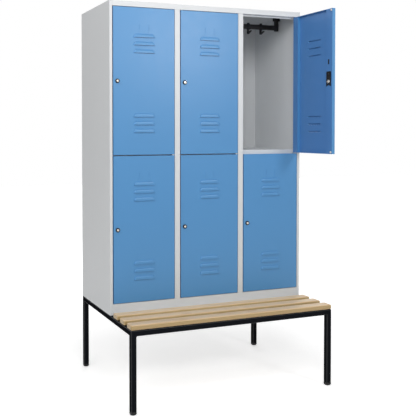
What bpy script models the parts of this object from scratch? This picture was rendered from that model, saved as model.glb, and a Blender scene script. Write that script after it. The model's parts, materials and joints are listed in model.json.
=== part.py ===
"""Two-tier locker on a bench stand: six louvred sheet-steel doors, a slatted seat and a square-tube frame.

Metres, +Z up. X runs along the front from left to right and Y from the front to the back. The origin is the
middle of the bounding box at floor level, with the upper right door standing open. Inside the main empty,
x = 0 is the body's left side, y = 0 its front face and z = 0 the floor.
"""

import math

import bmesh
import bpy
from mathutils import Matrix

# Overall sizes
BODY_W = 1.19  # across the body, and the stand under it
BODY_D = 0.50  # front face to back face
TOTAL_H = 2.11  # floor to roof
STAND_H = 0.425  # floor to the top of the stand
BENCH_REACH = 0.311  # how far the seat comes out in front of the body

# Layout
COLUMNS = ("left", "middle", "right")
ROWS = ("lower", "upper")
OPEN_DOOR = ("upper", "right")
OPEN_ANGLE = math.radians(91)

# Clearances
SEAT_GAP = 0.0003  # between pieces that rest on or against each other
OVERRUN = 0.002  # how far a cutter runs past what it cuts

# Body sheet and its folds
SHEET = 0.0012
SIDE_STILE = 0.0155
INNER_STILE = 0.031
STILE_RETURN = 0.0215
TOP_RAIL = 0.0285
BOTTOM_RAIL = 0.059
LIP_Y = 0.0225  # front of the lips that the doors close against
TOP_LIP = 0.010
FLOOR_RISE = 0.018
SHELF_RISE = 0.0175  # shelf top above the bottom edge of the door in front of it
SHELF_FRONT = 0.041
SHELF_BACK = 0.015
PLINTH_RETURN = 0.028

# Doors
DOOR_SHEET = 0.0012
DOOR_T = 0.019
LOCK_GAP = 0.005
HINGE_GAP = 0.003
DOOR_END_GAP = 0.003
DOOR_MID_GAP = 0.006
PIVOT_INSET = 0.0055  # pivot axis from the door's hinge edge, and from its face
HINGE_LIP_W = 0.044
HINGE_LIP_GAP = 0.0005  # between its fold and the skin
LOCK_BOX_W = 0.052
PIN_D = 0.005
PIN_CLEARANCE = 0.0007
PIN_PAST = 0.0022  # how far an end pin comes through the sheet that it turns in
MID_PIN_END = 0.0002  # from a short pin's end to the middle of the gap between the doors

# Pivot block between the upper and the lower door of a column
BLOCK_T = 0.004
BLOCK_W = 0.014
BLOCK_NOSE = 0.0045  # how far its round front stands ahead of the pivot axis

# Louvres. Each group stands at a height of its own lowest mouth
LOUVRES_PER_GROUP = 3
LOUVRE_W = 0.122
LOUVRE_H = 0.0185
LOUVRE_OUT = 0.006
LOUVRE_PITCH = 0.0418
LOWER_LOUVRE_UP = 0.1205  # above the door's bottom edge
UPPER_LOUVRE_DOWN = 0.24325  # below the door's top edge
LOUVRE_SLIT = 0.0003  # how far the slit in the door runs below the hood
LOUVRE_FACETS = 10
LOUVRE_END_FACETS = 6

# Label holder: two lips that face each other
LABEL_W = 0.055
LABEL_H = 0.041
LABEL_DOWN = 0.13075  # its bottom edge below the door's top edge
LABEL_LIP_W = 0.003
LABEL_LIP_OUT = 0.0025

# Lock
LOCK_IN = 0.0235  # axis from the door's free edge
LOCK_HEIGHT_SHARE = 0.5  # of the door's height
COLLAR_D = 0.023
COLLAR_OUT = 0.006
COLLAR_EDGE = 0.0012
BARREL_D = 0.0178
BARREL_HOLE_D = 0.0187
BORE_D = 0.0133
PLATE_W = 0.038
PLATE_IN = 0.005  # its middle from the lock axis, away from the free edge
PLATE_RISE = 0.055
PLATE_DROP = 0.026
PLATE_NOTCH = 0.009
PLATE_CORNER = 0.004
PLATE_T = 0.0022
PLUG_D = 0.0123
PLUG_OUT = 0.0075  # nickel face in front of the door
PLUG_EDGE = 0.0008
KEYWAY_W = 0.0014
KEYWAY_H = 0.007
KEYWAY_DEEP = 0.0025
CAM_REACH = 0.038
CAM_W = 0.020
CAM_TIP = 0.004
CAM_T = 0.003
CAM_GAP = 0.0006
NUT_D = 0.021
NUT_T = 0.005
NUT_EDGE = 0.0015
SPINDLE_D = 0.007
SPINDLE_SHORT = 0.0015  # how far the spindle's end lies inside the nut

# Slot in the lock-side stiffener
SLOT_W = 0.009
SLOT_IN = 0.0305  # its middle from the free edge
SLOT_H = 0.025
SLOT_UP = 0.108  # slot centre above the lock axis

# Buffers
BUFFER_D = 0.011
BUFFER_T = 0.0029
BUFFER_EDGE = 0.0009
BUFFER_IN = 0.0085  # centre from the free edge
BUFFER_TOP = 0.0095  # centre from the top edge
BUFFER_BOTTOM = 0.0105  # centre from the bottom edge

# Coat rail
RAIL_Y = 0.22
RAIL_H = 0.030
RAIL_T = 0.015
RAIL_DOWN = 0.0618  # rail centre below the sheet that it hangs from
POST_W = 0.020
POST_T = 0.021
HEAD_W = 0.039
HEAD_H = 0.020
POST_BELOW = 0.005  # how far the post runs below the rail
POST_IN = 0.020  # post centre from the wall beside it
HANGER_EDGE = 0.0015

# Coat hooks
HOOK_COUNT = 3
HOOK_PITCH = 0.088
HOOK_ASIDE = 0.02  # the middle hook from the middle of the rail
HOOK_W = 0.013
HOOK_WALL = 0.004
HOOK_CLEAR = 0.0007
HOOK_BUMP = 0.003
HOOK_BUMP_W = 0.007
HOOK_ARM = 0.008
HOOK_BEND = 0.007  # outside radius of the bend
HOOK_BEHIND = 0.003  # the stem's middle behind the rail's axis
HOOK_DEEP = 0.045  # from the rail's axis down to the hook's lowest point
HOOK_REACH = 0.035  # from the rail's axis forward to the tip
HOOK_RISE = 0.014  # the tip's underside above the lowest point
HOOK_TIP_T = 0.0045

# Stand and seat
TUBE = 0.030
TUBE_WALL = 0.002
TUBE_EDGE = 0.003
FOOT_H = 0.016
FOOT_BASE_D = 0.016
FOOT_RIM = 0.0015  # upright rim above the dome
SPIGOT_H = 0.018
SPIGOT_FIT = 0.0004
SLAT_W = 0.062
SLAT_T = 0.026
SLAT_PITCH = 0.1015
SLAT_COUNT = 3
SLAT_EDGE = 0.008

# Facets
TURN_SIDES = 12
SMALL_SIDES = 10
BEND_STEPS = 5
CORNER_STEPS = 2
TUBE_EDGE_STEPS = 1
DOME_STEPS = 3
SLAT_EDGE_STEPS = 3

# Sizes that follow from the ones above
OPENING_W = (BODY_W - 2 * SIDE_STILE - (len(COLUMNS) - 1) * INNER_STILE) / len(COLUMNS)
DOOR_W = OPENING_W - LOCK_GAP - HINGE_GAP
BODY_Z = STAND_H + SEAT_GAP
RAIL_TOP_Z = STAND_H + BOTTOM_RAIL
DOORWAY_TOP_Z = TOTAL_H - TOP_RAIL
DOOR_H = (DOORWAY_TOP_Z - RAIL_TOP_Z - 2 * DOOR_END_GAP - DOOR_MID_GAP) / len(ROWS)
LOCK_UP = DOOR_H * LOCK_HEIGHT_SHARE
FLOOR_Z = RAIL_TOP_Z + FLOOR_RISE
CEILING_Z = TOTAL_H - SHEET
BACK_Y = BODY_D - SHEET - SEAT_GAP
FREE_X = PIVOT_INSET - DOOR_W  # a door's free edge, seen from its pivot
FACE_Y = -PIVOT_INSET  # a door's face, seen from its pivot
INNER_Y = DOOR_T - PIVOT_INSET  # the plane of a door's inner lips, seen from its pivot
OPEN_REACH = -FREE_X * math.sin(OPEN_ANGLE) - INNER_Y * math.cos(OPEN_ANGLE) - PIVOT_INSET
FRONT_REACH = max(OPEN_REACH, BENCH_REACH)


def opening_left(column):
    """x of the left edge of a column's doorway."""
    return SIDE_STILE + COLUMNS.index(column) * (OPENING_W + INNER_STILE)


def web_x(index):
    """x of the middle of the partition behind inner stile number index."""
    return opening_left(COLUMNS[index]) + OPENING_W + INNER_STILE / 2


def room_sides(column):
    """x of the inner faces of the walls on both sides of a column."""
    index = COLUMNS.index(column)
    last = index == len(COLUMNS) - 1
    low = web_x(index - 1) + SHEET / 2 if index else SHEET
    high = BODY_W - SHEET if last else web_x(index) - SHEET / 2
    return low, high


def door_bottom(row):
    """z of the bottom edge of a row's doors."""
    return RAIL_TOP_Z + DOOR_END_GAP + ROWS.index(row) * (DOOR_H + DOOR_MID_GAP)


def shelf_z():
    """z of the top of the mid shelves."""
    return door_bottom("upper") + SHELF_RISE


def ceiling_of(row):
    """z of the underside of what closes a row's compartments from above."""
    return CEILING_Z if row == ROWS[-1] else shelf_z() - SHEET


def pivot_x(column):
    """x of the pivot axis of a column's doors."""
    return opening_left(column) + OPENING_W - HINGE_GAP - PIVOT_INSET


def clear_scene():
    for obj in list(bpy.data.objects):
        bpy.data.objects.remove(obj, do_unlink=True)


def make_collection(name):
    group = bpy.data.collections.new(name)
    bpy.context.scene.collection.children.link(group)
    return group


def make_material(name, color, roughness, metallic=0.0):
    paint = bpy.data.materials.new(name)
    paint.use_nodes = True
    shader = paint.node_tree.nodes["Principled BSDF"]
    shader.inputs["Base Color"].default_value = (*color, 1.0)
    shader.inputs["Roughness"].default_value = roughness
    shader.inputs["Metallic"].default_value = metallic
    paint.diffuse_color = (*color, 1.0)
    return paint


def add_object(name, mesh, paint=None, parent=None, location=(0, 0, 0)):
    """An object in the parts collection, with its material."""
    obj = bpy.data.objects.new(name, mesh)
    if paint is not None and not mesh.materials:
        mesh.materials.append(paint)
    PARTS.objects.link(obj)
    obj.parent = parent
    obj.location = location
    return obj


def finish_mesh(bm, name):
    """A mesh from a bmesh of closed bodies, with doubled points merged and its faces pointing out."""
    bmesh.ops.remove_doubles(bm, verts=bm.verts, dist=SHEET / 1000)
    bmesh.ops.recalc_face_normals(bm, faces=bm.faces)
    mesh = bpy.data.meshes.new(name)
    bm.to_mesh(mesh)
    bm.free()
    return mesh


def evaluated_bmesh(obj):
    """What an object's modifiers or its curve make. The object and its cutters are removed."""
    bpy.context.view_layer.update()
    graph = bpy.context.evaluated_depsgraph_get()
    mesh = bpy.data.meshes.new_from_object(obj.evaluated_get(graph), depsgraph=graph)
    bm = bmesh.new()
    bm.from_mesh(mesh)
    bpy.data.meshes.remove(mesh)
    spent = [item.object for item in obj.modifiers if item.type == "BOOLEAN"]
    for item in [*spent, obj]:
        bpy.data.objects.remove(item, do_unlink=True)
    return bm


def settled(obj):
    """Replaces an object and its modifiers by its evaluated mesh."""
    name = obj.name
    return finish_mesh(evaluated_bmesh(obj), name)


def smooth(mesh):
    """Smooth shading on round faces and sharp edges elsewhere."""
    mesh.shade_smooth()
    mesh.set_sharp_from_angle(angle=math.radians(32))
    return mesh


def combine(obj, other, operation):
    """A Boolean between obj and other, which moves to the cutters."""
    modifier = obj.modifiers.new(f"{operation.lower()} {other.name}", "BOOLEAN")
    modifier.operation = operation
    modifier.solver = "EXACT"
    modifier.object = other
    PARTS.objects.unlink(other)
    CUTTERS.objects.link(other)
    other.hide_render = True
    other.display_type = "WIRE"


def fillet(obj, width, segments):
    rounding = obj.modifiers.new("rounded edges", "BEVEL")
    rounding.width = width
    rounding.segments = segments
    rounding.limit_method = "ANGLE"
    rounding.angle_limit = math.radians(40)


def placed(axis, along, pair):
    """The point with one value along an axis and a pair of values on the other two, in their order."""
    first, second = pair
    return {
        "X": (along, first, second),
        "Y": (first, along, second),
        "Z": (first, second, along),
    }[axis]


def folded_sheet(name, path, axis, low, high, thickness, side=1):
    """A sheet bent along a path, from low to high on an axis.

    The path is one skin of the sheet. The thickness lies on the left of the path's direction, or on its right
    where side is -1.
    """
    bm = bmesh.new()
    row = [bm.verts.new(placed(axis, low, pair)) for pair in path]
    edges = [bm.edges.new(ends) for ends in zip(row, row[1:])]
    swept = bmesh.ops.extrude_edge_only(bm, edges=edges)
    moved = [item for item in swept["geom"] if isinstance(item, bmesh.types.BMVert)]
    bmesh.ops.translate(bm, verts=moved, vec=placed(axis, high - low, (0, 0)))
    bmesh.ops.recalc_face_normals(bm, faces=bm.faces)
    bm.normal_update()
    (x0, y0), (x1, y1) = path[:2]
    first = next(face for face in bm.faces if row[0] in face.verts)
    leftward = sum(a * b for a, b in zip(first.normal, placed(axis, 0, (y0 - y1, x1 - x0))))
    mesh = bpy.data.meshes.new(name)
    bm.to_mesh(mesh)
    bm.free()
    obj = add_object(name, mesh)
    wall = obj.modifiers.new("sheet thickness", "SOLIDIFY")
    wall.thickness = thickness
    wall.use_even_offset = True
    wall.offset = side * math.copysign(1, leftward)
    return obj


def flat_mesh(name, outlines, axis, low, high):
    """A flat piece between low and high on an axis. An outline inside another one is a hole in it."""
    curve = bpy.data.curves.new(name, "CURVE")
    curve.dimensions = "2D"
    curve.fill_mode = "BOTH"
    curve.extrude = (high - low) / 2
    for outline in outlines:
        spline = curve.splines.new("POLY")
        spline.points.add(len(outline) - 1)
        for point, (first, second) in zip(spline.points, outline):
            point.co = (first, second, 0, 1)
        spline.use_cyclic_u = True
    guide = bpy.data.objects.new(name, curve)
    PARTS.objects.link(guide)
    bm = evaluated_bmesh(guide)
    for vert in bm.verts:
        vert.co = placed(axis, vert.co.z + (low + high) / 2, vert.co.xy)
    return finish_mesh(bm, name)


def flat_piece(name, outlines, axis, low, high):
    return add_object(name, flat_mesh(name, outlines, axis, low, high))


def block(name, low, high):
    """A box between two opposite corners."""
    (left, front, bottom), (right, back, top) = low, high
    outline = [(left, front), (right, front), (right, back), (left, back)]
    return flat_piece(name, [outline], "Z", bottom, top)


def rod(name, axis, low, high, center, diameter, sides):
    """A cylinder from low to high on an axis, through center on the other two."""
    turn = {
        "X": Matrix.Rotation(math.pi / 2, 4, "Y"),
        "Y": Matrix.Rotation(math.pi / 2, 4, "X"),
        "Z": Matrix.Identity(4),
    }[axis]
    bm = bmesh.new()
    bmesh.ops.create_cone(
        bm,
        cap_ends=True,
        segments=sides,
        radius1=diameter / 2,
        radius2=diameter / 2,
        depth=high - low,
        matrix=Matrix.Translation(placed(axis, (low + high) / 2, center)) @ turn,
    )
    return add_object(name, finish_mesh(bm, name))


def turned(name, profile, axis, sides, ring=False):
    """A body turned about an axis from a profile of (radius, place along the axis) pairs."""
    bm = bmesh.new()
    points = [(radius, along, 0) if axis == "Y" else (radius, 0, along) for radius, along in profile]
    row = [bm.verts.new(point) for point in points]
    for ends in zip(row, row[1:] + row[:1] if ring else row[1:]):
        bm.edges.new(ends)
    mesh = bpy.data.meshes.new(name)
    bm.to_mesh(mesh)
    bm.free()
    obj = add_object(name, mesh)
    lathe = obj.modifiers.new("turned", "SCREW")
    lathe.axis = axis
    lathe.steps = lathe.render_steps = sides
    lathe.use_merge_vertices = True
    lathe.merge_threshold = SHEET / 100
    return add_object(name, settled(obj))


def circle(center, diameter, sides):
    return [
        (
            center[0] + diameter / 2 * math.cos(math.tau * step / sides),
            center[1] + diameter / 2 * math.sin(math.tau * step / sides),
        )
        for step in range(sides)
    ]


def arc(center, radius, start, end, steps):
    """Points of an arc between two angles in radians."""
    angles = [start + (end - start) * step / steps for step in range(steps + 1)]
    return [(center[0] + radius * math.cos(a), center[1] + radius * math.sin(a)) for a in angles]


def rounded_rectangle(center, wide, tall, radius, steps=CORNER_STEPS):
    """A rectangle's outline with rounded corners."""
    points = []
    for corner, (across, up) in enumerate(((1, 1), (-1, 1), (-1, -1), (1, -1))):
        middle = (center[0] + across * (wide / 2 - radius), center[1] + up * (tall / 2 - radius))
        quarter = corner * math.pi / 2
        points += arc(middle, radius, quarter, quarter + math.pi / 2, steps)
    return points


def oval(wide, tall, grow=0, drop=0):
    """An upright oval's outline: two straight sides and two half circles."""
    radius, lift = wide / 2 + grow, (tall - wide) / 2
    top = arc((0, lift - drop), radius, 0, math.pi, BEND_STEPS)
    bottom = arc((0, -lift - drop), radius, math.pi, math.tau, BEND_STEPS)
    return top + bottom


def joined(name, objects):
    """One object that holds the meshes of several, which don't touch each other."""
    bm = bmesh.new()
    for obj in objects:
        bm.from_mesh(obj.data)
        bpy.data.objects.remove(obj, do_unlink=True)
    return add_object(name, finish_mesh(bm, name))


def body_piece(obj, paint):
    """Puts a piece and its cutters in the main frame and paints it."""
    obj.data.materials.append(paint)
    obj.parent = HOME
    for item in obj.modifiers:
        if item.type == "BOOLEAN":
            item.object.parent = HOME


def build_side_panels():
    """Outer wall, front stile and the stile's return, folded from one sheet. The roof covers the stile."""
    left = [(0, BODY_D), (0, 0), (SIDE_STILE, 0), (SIDE_STILE, STILE_RETURN)]
    right = [(BODY_W - x, y) for x, y in reversed(left)]
    inside, past = SHEET + SEAT_GAP, SIDE_STILE + OVERRUN
    sides = (("left", left, inside, past), ("right", right, BODY_W - past, BODY_W - inside))
    for side, path, notch_low, notch_high in sides:
        wall = folded_sheet(f"side_panel_{side}", path, "Z", BODY_Z, TOTAL_H, SHEET)
        low = (notch_low, -OVERRUN, CEILING_Z - 2 * SEAT_GAP)
        high = (notch_high, STILE_RETURN + OVERRUN, TOTAL_H + OVERRUN)
        combine(wall, block(f"side_panel_{side} notch", low, high), "DIFFERENCE")
        body_piece(wall, BODY_GREY)


def build_partitions():
    """Inner stiles folded into boxes that are open behind, with a dividing wall running back from each."""
    front, behind = LIP_Y - SEAT_GAP, LIP_Y + SHEET + SEAT_GAP
    rail_z, lip_z = DOORWAY_TOP_Z - SEAT_GAP, DOORWAY_TOP_Z - TOP_LIP - SEAT_GAP
    top_z, deep = TOTAL_H + OVERRUN, BODY_D + OVERRUN
    above_rail = [
        (-OVERRUN, rail_z),
        (front, rail_z),
        (front, lip_z),
        (behind, lip_z),
        (behind, top_z),
        (-OVERRUN, top_z),
    ]
    foot_z = FLOOR_Z + SEAT_GAP
    under_floor = [(front, STAND_H), (deep, STAND_H), (deep, foot_z), (front, foot_z)]
    for index, side in enumerate(COLUMNS[1:]):
        left = opening_left(COLUMNS[index]) + OPENING_W
        right = left + INNER_STILE
        web = web_x(index) + SHEET / 2
        path = [
            (left, STILE_RETURN),
            (left, 0),
            (right, 0),
            (right, STILE_RETURN),
            (web, STILE_RETURN),
            (web, BACK_Y),
        ]
        name = f"partition_{COLUMNS[index]}_{side}"
        wall = folded_sheet(name, path, "Z", RAIL_TOP_Z + SEAT_GAP, CEILING_Z - SEAT_GAP, SHEET)
        for label, outline in (("top", above_rail), ("foot", under_floor)):
            notch = flat_piece(f"{name} {label} notch", [outline], "X", left - OVERRUN, right + OVERRUN)
            combine(wall, notch, "DIFFERENCE")
        body_piece(wall, BODY_GREY)


def cut_rail(sheet, low, high, hole_low, hole_high):
    """Cuts a rail's sheet clear of the outer stiles and bores the doors' pivot holes."""
    reach, behind = SIDE_STILE + SEAT_GAP, STILE_RETURN + SEAT_GAP
    ends = [
        block(f"{sheet.name} notch", (left, -OVERRUN, low), (right, behind, high))
        for left, right in ((-OVERRUN, reach), (BODY_W - reach, BODY_W + OVERRUN))
    ]
    holes = [
        rod(
            f"{sheet.name} hole",
            "Z",
            hole_low,
            hole_high,
            (pivot_x(column), PIVOT_INSET),
            PIN_D + 2 * PIN_CLEARANCE,
            SMALL_SIDES,
        )
        for column in COLUMNS
    ]
    combine(sheet, joined(f"{sheet.name} notches and holes", ends + holes), "DIFFERENCE")


def build_roof_and_floor():
    """The roof folds down into the top rail and the floor into the deep bottom rail."""
    left, right = SHEET + SEAT_GAP, BODY_W - SHEET - SEAT_GAP
    roof_path = [
        (BACK_Y, TOTAL_H),
        (0, TOTAL_H),
        (0, DOORWAY_TOP_Z),
        (LIP_Y, DOORWAY_TOP_Z),
        (LIP_Y, DOORWAY_TOP_Z - TOP_LIP),
    ]
    roof = folded_sheet("roof_panel", roof_path, "X", left, right, SHEET)
    past = OVERRUN + SHEET
    cut_rail(
        roof,
        DOORWAY_TOP_Z - TOP_LIP - OVERRUN,
        CEILING_Z - SEAT_GAP,
        DOORWAY_TOP_Z - past,
        DOORWAY_TOP_Z + past,
    )
    body_piece(roof, BODY_GREY)
    floor_path = [
        (BACK_Y, FLOOR_Z),
        (LIP_Y, FLOOR_Z),
        (LIP_Y, RAIL_TOP_Z),
        (0, RAIL_TOP_Z),
        (0, BODY_Z),
        (PLINTH_RETURN, BODY_Z),
    ]
    floor = folded_sheet("floor_panel", floor_path, "X", left, right, SHEET)
    cut_rail(floor, STAND_H - OVERRUN, FLOOR_Z + OVERRUN, RAIL_TOP_Z - past, RAIL_TOP_Z + past)
    body_piece(floor, BODY_GREY)


def build_back_and_shelves():
    """The flat back sheet, and one folded shelf for each column."""
    left, right = SHEET + SEAT_GAP, BODY_W - SHEET - SEAT_GAP
    back = folded_sheet("back_panel", [(right, BODY_D), (left, BODY_D)], "Z", BODY_Z, TOTAL_H, SHEET)
    body_piece(back, BODY_GREY)
    top = shelf_z()
    path = [(BACK_Y, top - SHELF_BACK), (BACK_Y, top), (LIP_Y, top), (LIP_Y, top - SHELF_FRONT)]
    for column in COLUMNS:
        low, high = room_sides(column)
        shelf = folded_sheet(f"shelf_{column}", path, "X", low + SEAT_GAP, high - SEAT_GAP, SHEET)
        body_piece(shelf, BODY_GREY)


def build_pivot_blocks():
    """The block on the front of each shelf that both doors of a column turn in."""
    back, nose = LIP_Y - SEAT_GAP, BLOCK_W / 2
    front = [
        (x, PIVOT_INSET + y * BLOCK_NOSE / nose)
        for x, y in arc((0, 0), nose, math.pi, math.tau, BEND_STEPS)
    ]
    hole = circle((0, PIVOT_INSET), PIN_D + 2 * PIN_CLEARANCE, SMALL_SIDES)
    outline = [*front, (nose, back), (-nose, back)]
    mesh = flat_mesh("pivot_block", [outline, hole], "Z", -BLOCK_T / 2, BLOCK_T / 2)
    middle = door_bottom("upper") - DOOR_MID_GAP / 2
    for column in COLUMNS:
        add_object(f"pivot_block_{column}", mesh, ZINC, HOME, (pivot_x(column), 0, middle))


def louvre_form(name, inset, back, below):
    """The bulge of a pressed louvre, a stretched quarter of an ellipsoid with its mouth at z = 0.

    inset is how much smaller it is than the louvre's outside, back is the y that it runs back to, and below
    is how far its mouth is carried down.
    """
    rise, out = LOUVRE_H - inset, LOUVRE_OUT - inset
    straight = LOUVRE_W / 2 - LOUVRE_H
    bm = bmesh.new()
    bmesh.ops.create_uvsphere(bm, u_segments=LOUVRE_FACETS, v_segments=LOUVRE_END_FACETS, radius=1)
    near_nil = SHEET / LOUVRE_W
    points = set()
    for x, y, z in [vert.co.zyx for vert in bm.verts]:
        if y > near_nil or z < -near_nil:
            continue
        ends = [side for side in (-1, 1) if x * side > -near_nil]
        depths = [0, back - FACE_Y] if y > -near_nil else [y * out]
        heights = [0, -below] if z < near_nil else [z * rise]
        for end in ends:
            for depth in depths:
                for height in heights:
                    points.add((end * straight + x * rise, FACE_Y + depth, height))
    bm.free()
    bm = bmesh.new()
    bmesh.ops.convex_hull(bm, input=[bm.verts.new(point) for point in sorted(points)])
    bmesh.ops.delete(bm, geom=[vert for vert in bm.verts if not vert.link_faces], context="VERTS")
    bmesh.ops.dissolve_limit(bm, angle_limit=math.radians(1), verts=bm.verts, edges=bm.edges)
    return finish_mesh(bm, name)


def louvre_set(name, inset, back, below):
    """All louvres of a door as one object."""
    mesh = louvre_form(name, inset, back, below)
    middle = FREE_X + DOOR_W / 2
    pieces = []
    for low in (LOWER_LOUVRE_UP, DOOR_H - UPPER_LOUVRE_DOWN):
        for step in range(LOUVRES_PER_GROUP):
            piece = mesh.copy()
            piece.transform(Matrix.Translation((middle, 0, low + step * LOUVRE_PITCH)))
            pieces.append(add_object(name, piece))
    return joined(name, pieces)


def build_door_mesh(row):
    """The door pan: face and edge flanges, stiffeners, pivot pins, label lips and pressed louvres."""
    name = f"door_{row}"
    hinge_x, root = PIVOT_INSET, DOOR_SHEET / 2
    bm = bmesh.new()
    bmesh.ops.create_cube(bm, size=1)
    bmesh.ops.delete(bm, geom=[face for face in bm.faces if face.normal.y > 1 / 2], context="FACES")
    bmesh.ops.scale(bm, verts=bm.verts, vec=(DOOR_W, DOOR_T, DOOR_H))
    middle = (FREE_X + hinge_x) / 2, (FACE_Y + INNER_Y) / 2, DOOR_H / 2
    bmesh.ops.translate(bm, verts=bm.verts, vec=middle)
    mesh = bpy.data.meshes.new(name)
    bm.to_mesh(mesh)
    bm.free()
    pan = add_object(name, mesh)
    wall = pan.modifiers.new("sheet thickness", "SOLIDIFY")
    wall.thickness = DOOR_SHEET
    wall.offset = -1
    wall.use_even_offset = True

    lip_x, box_x = hinge_x - HINGE_LIP_W, FREE_X + LOCK_BOX_W
    fold_end = FACE_Y + DOOR_SHEET + HINGE_LIP_GAP
    folds = (
        ("hinge lip", [(lip_x, fold_end), (lip_x, INNER_Y), (hinge_x - root, INNER_Y)]),
        ("lock box", [(FREE_X + root, INNER_Y), (box_x, INNER_Y), (box_x, FACE_Y + root)]),
    )
    for label, path in folds:
        fold = folded_sheet(label, path, "Z", root, DOOR_H - root, DOOR_SHEET, -1)
        combine(pan, fold, "UNION")

    end_pin = DOOR_END_GAP + SHEET + PIN_PAST
    mid_pin = DOOR_MID_GAP / 2 - MID_PIN_END
    below, above = (mid_pin, end_pin) if row == ROWS[-1] else (end_pin, mid_pin)
    forms = [
        rod("bottom pin", "Z", -below, root, (0, 0), PIN_D, SMALL_SIDES),
        rod("top pin", "Z", DOOR_H - root, DOOR_H + above, (0, 0), PIN_D, SMALL_SIDES),
        louvre_set("louvres", 0, FACE_Y + root, 0),
    ]
    center = FREE_X + DOOR_W / 2
    for side in (-1, 1):
        edge = center + side * LABEL_W / 2
        lip = block(
            "label lip",
            (edge - LABEL_LIP_W / 2, FACE_Y - LABEL_LIP_OUT, DOOR_H - LABEL_DOWN),
            (edge + LABEL_LIP_W / 2, FACE_Y + root, DOOR_H - LABEL_DOWN + LABEL_H),
        )
        forms.append(lip)
    combine(pan, joined("raised forms", forms), "UNION")

    lock_x = FREE_X + LOCK_IN
    slot_z = LOCK_UP + SLOT_UP
    slot = rounded_rectangle((FREE_X + SLOT_IN, slot_z), SLOT_W, SLOT_H, SLOT_W / 3)
    cuts = [
        louvre_set("louvre hollows", DOOR_SHEET, FACE_Y + DOOR_SHEET + OVERRUN, LOUVRE_SLIT),
        rod(
            "barrel hole",
            "Y",
            FACE_Y - OVERRUN,
            INNER_Y + OVERRUN,
            (lock_x, LOCK_UP),
            BARREL_HOLE_D,
            TURN_SIDES,
        ),
        flat_piece("slot", [slot], "Y", INNER_Y - DOOR_SHEET - OVERRUN, INNER_Y + OVERRUN),
    ]
    combine(pan, joined("cuts", cuts), "DIFFERENCE")
    return smooth(settled(pan))


def build_lock_body_mesh():
    """Collar on the door's face, barrel through the door and the plate with a swallow-tail end behind it."""
    front, seat = FACE_Y - SEAT_GAP - COLLAR_OUT, FACE_Y - SEAT_GAP
    plate_front = INNER_Y + SEAT_GAP
    plate_back = plate_front + PLATE_T
    barrel_end = plate_front + PLATE_T / 2
    profile = [
        (BORE_D / 2, front),
        (COLLAR_D / 2 - COLLAR_EDGE, front),
        (COLLAR_D / 2, front + COLLAR_EDGE),
        (COLLAR_D / 2, seat),
        (BARREL_D / 2, seat),
        (BARREL_D / 2, barrel_end),
        (BORE_D / 2, barrel_end),
    ]
    barrel = turned("lock_body", profile, "Y", TURN_SIDES, ring=True)
    left, right = PLATE_IN - PLATE_W / 2, PLATE_IN + PLATE_W / 2
    round_z = PLATE_RISE - PLATE_CORNER
    outline = [
        (left, -PLATE_DROP),
        (PLATE_IN, PLATE_NOTCH - PLATE_DROP),
        (right, -PLATE_DROP),
        *arc((right - PLATE_CORNER, round_z), PLATE_CORNER, 0, math.pi / 2, CORNER_STEPS),
        *arc((left + PLATE_CORNER, round_z), PLATE_CORNER, math.pi / 2, math.pi, CORNER_STEPS),
    ]
    combine(barrel, flat_piece("lock plate", [outline], "Y", plate_front, plate_back), "UNION")
    low, high = front - OVERRUN, plate_back + OVERRUN
    combine(barrel, rod("lock bore", "Y", low, high, (0, 0), BORE_D, TURN_SIDES), "DIFFERENCE")
    return smooth(settled(barrel))


def build_lock_cam_mesh():
    """Plug with a keyway in its face, the arm at its other end and the round nut that holds the arm."""
    front = FACE_Y - PLUG_OUT
    arm_front = INNER_Y + SEAT_GAP + PLATE_T + CAM_GAP
    arm_back = arm_front + CAM_T
    arm_middle = arm_front + CAM_T / 2
    back = arm_back + NUT_T
    profile = [
        (0, front),
        (PLUG_D / 2 - PLUG_EDGE, front),
        (PLUG_D / 2, front + PLUG_EDGE),
        (PLUG_D / 2, arm_middle),
        (NUT_D / 2, arm_middle),
        (NUT_D / 2, back - NUT_EDGE),
        (NUT_D / 2 - NUT_EDGE, back),
        (SPINDLE_D / 2, back),
        (SPINDLE_D / 2, back - SPINDLE_SHORT),
        (0, back - SPINDLE_SHORT),
    ]
    plug = turned("lock_cam", profile, "Y", TURN_SIDES)
    half = CAM_W / 2
    outline = [
        *arc((0, 0), half, math.pi, math.tau, BEND_STEPS),
        (half, CAM_REACH - CAM_TIP),
        (half - CAM_TIP, CAM_REACH),
        (CAM_TIP - half, CAM_REACH),
        (-half, CAM_REACH - CAM_TIP),
    ]
    combine(plug, flat_piece("cam arm", [outline], "Y", arm_front, arm_back), "UNION")
    keyway = block(
        "keyway",
        (-KEYWAY_W / 2, front - OVERRUN, -KEYWAY_H / 2),
        (KEYWAY_W / 2, front + KEYWAY_DEEP, KEYWAY_H / 2),
    )
    combine(plug, keyway, "DIFFERENCE")
    return smooth(settled(plug))


def build_buffer_mesh():
    """Soft round stop on a door's inner lip."""
    front = INNER_Y + SEAT_GAP
    back = front + BUFFER_T
    profile = [
        (0, front),
        (BUFFER_D / 2, front),
        (BUFFER_D / 2, back - BUFFER_EDGE),
        (BUFFER_D / 2 - BUFFER_EDGE, back),
        (0, back),
    ]
    return smooth(settled(turned("buffer", profile, "Y", SMALL_SIDES)))


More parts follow.
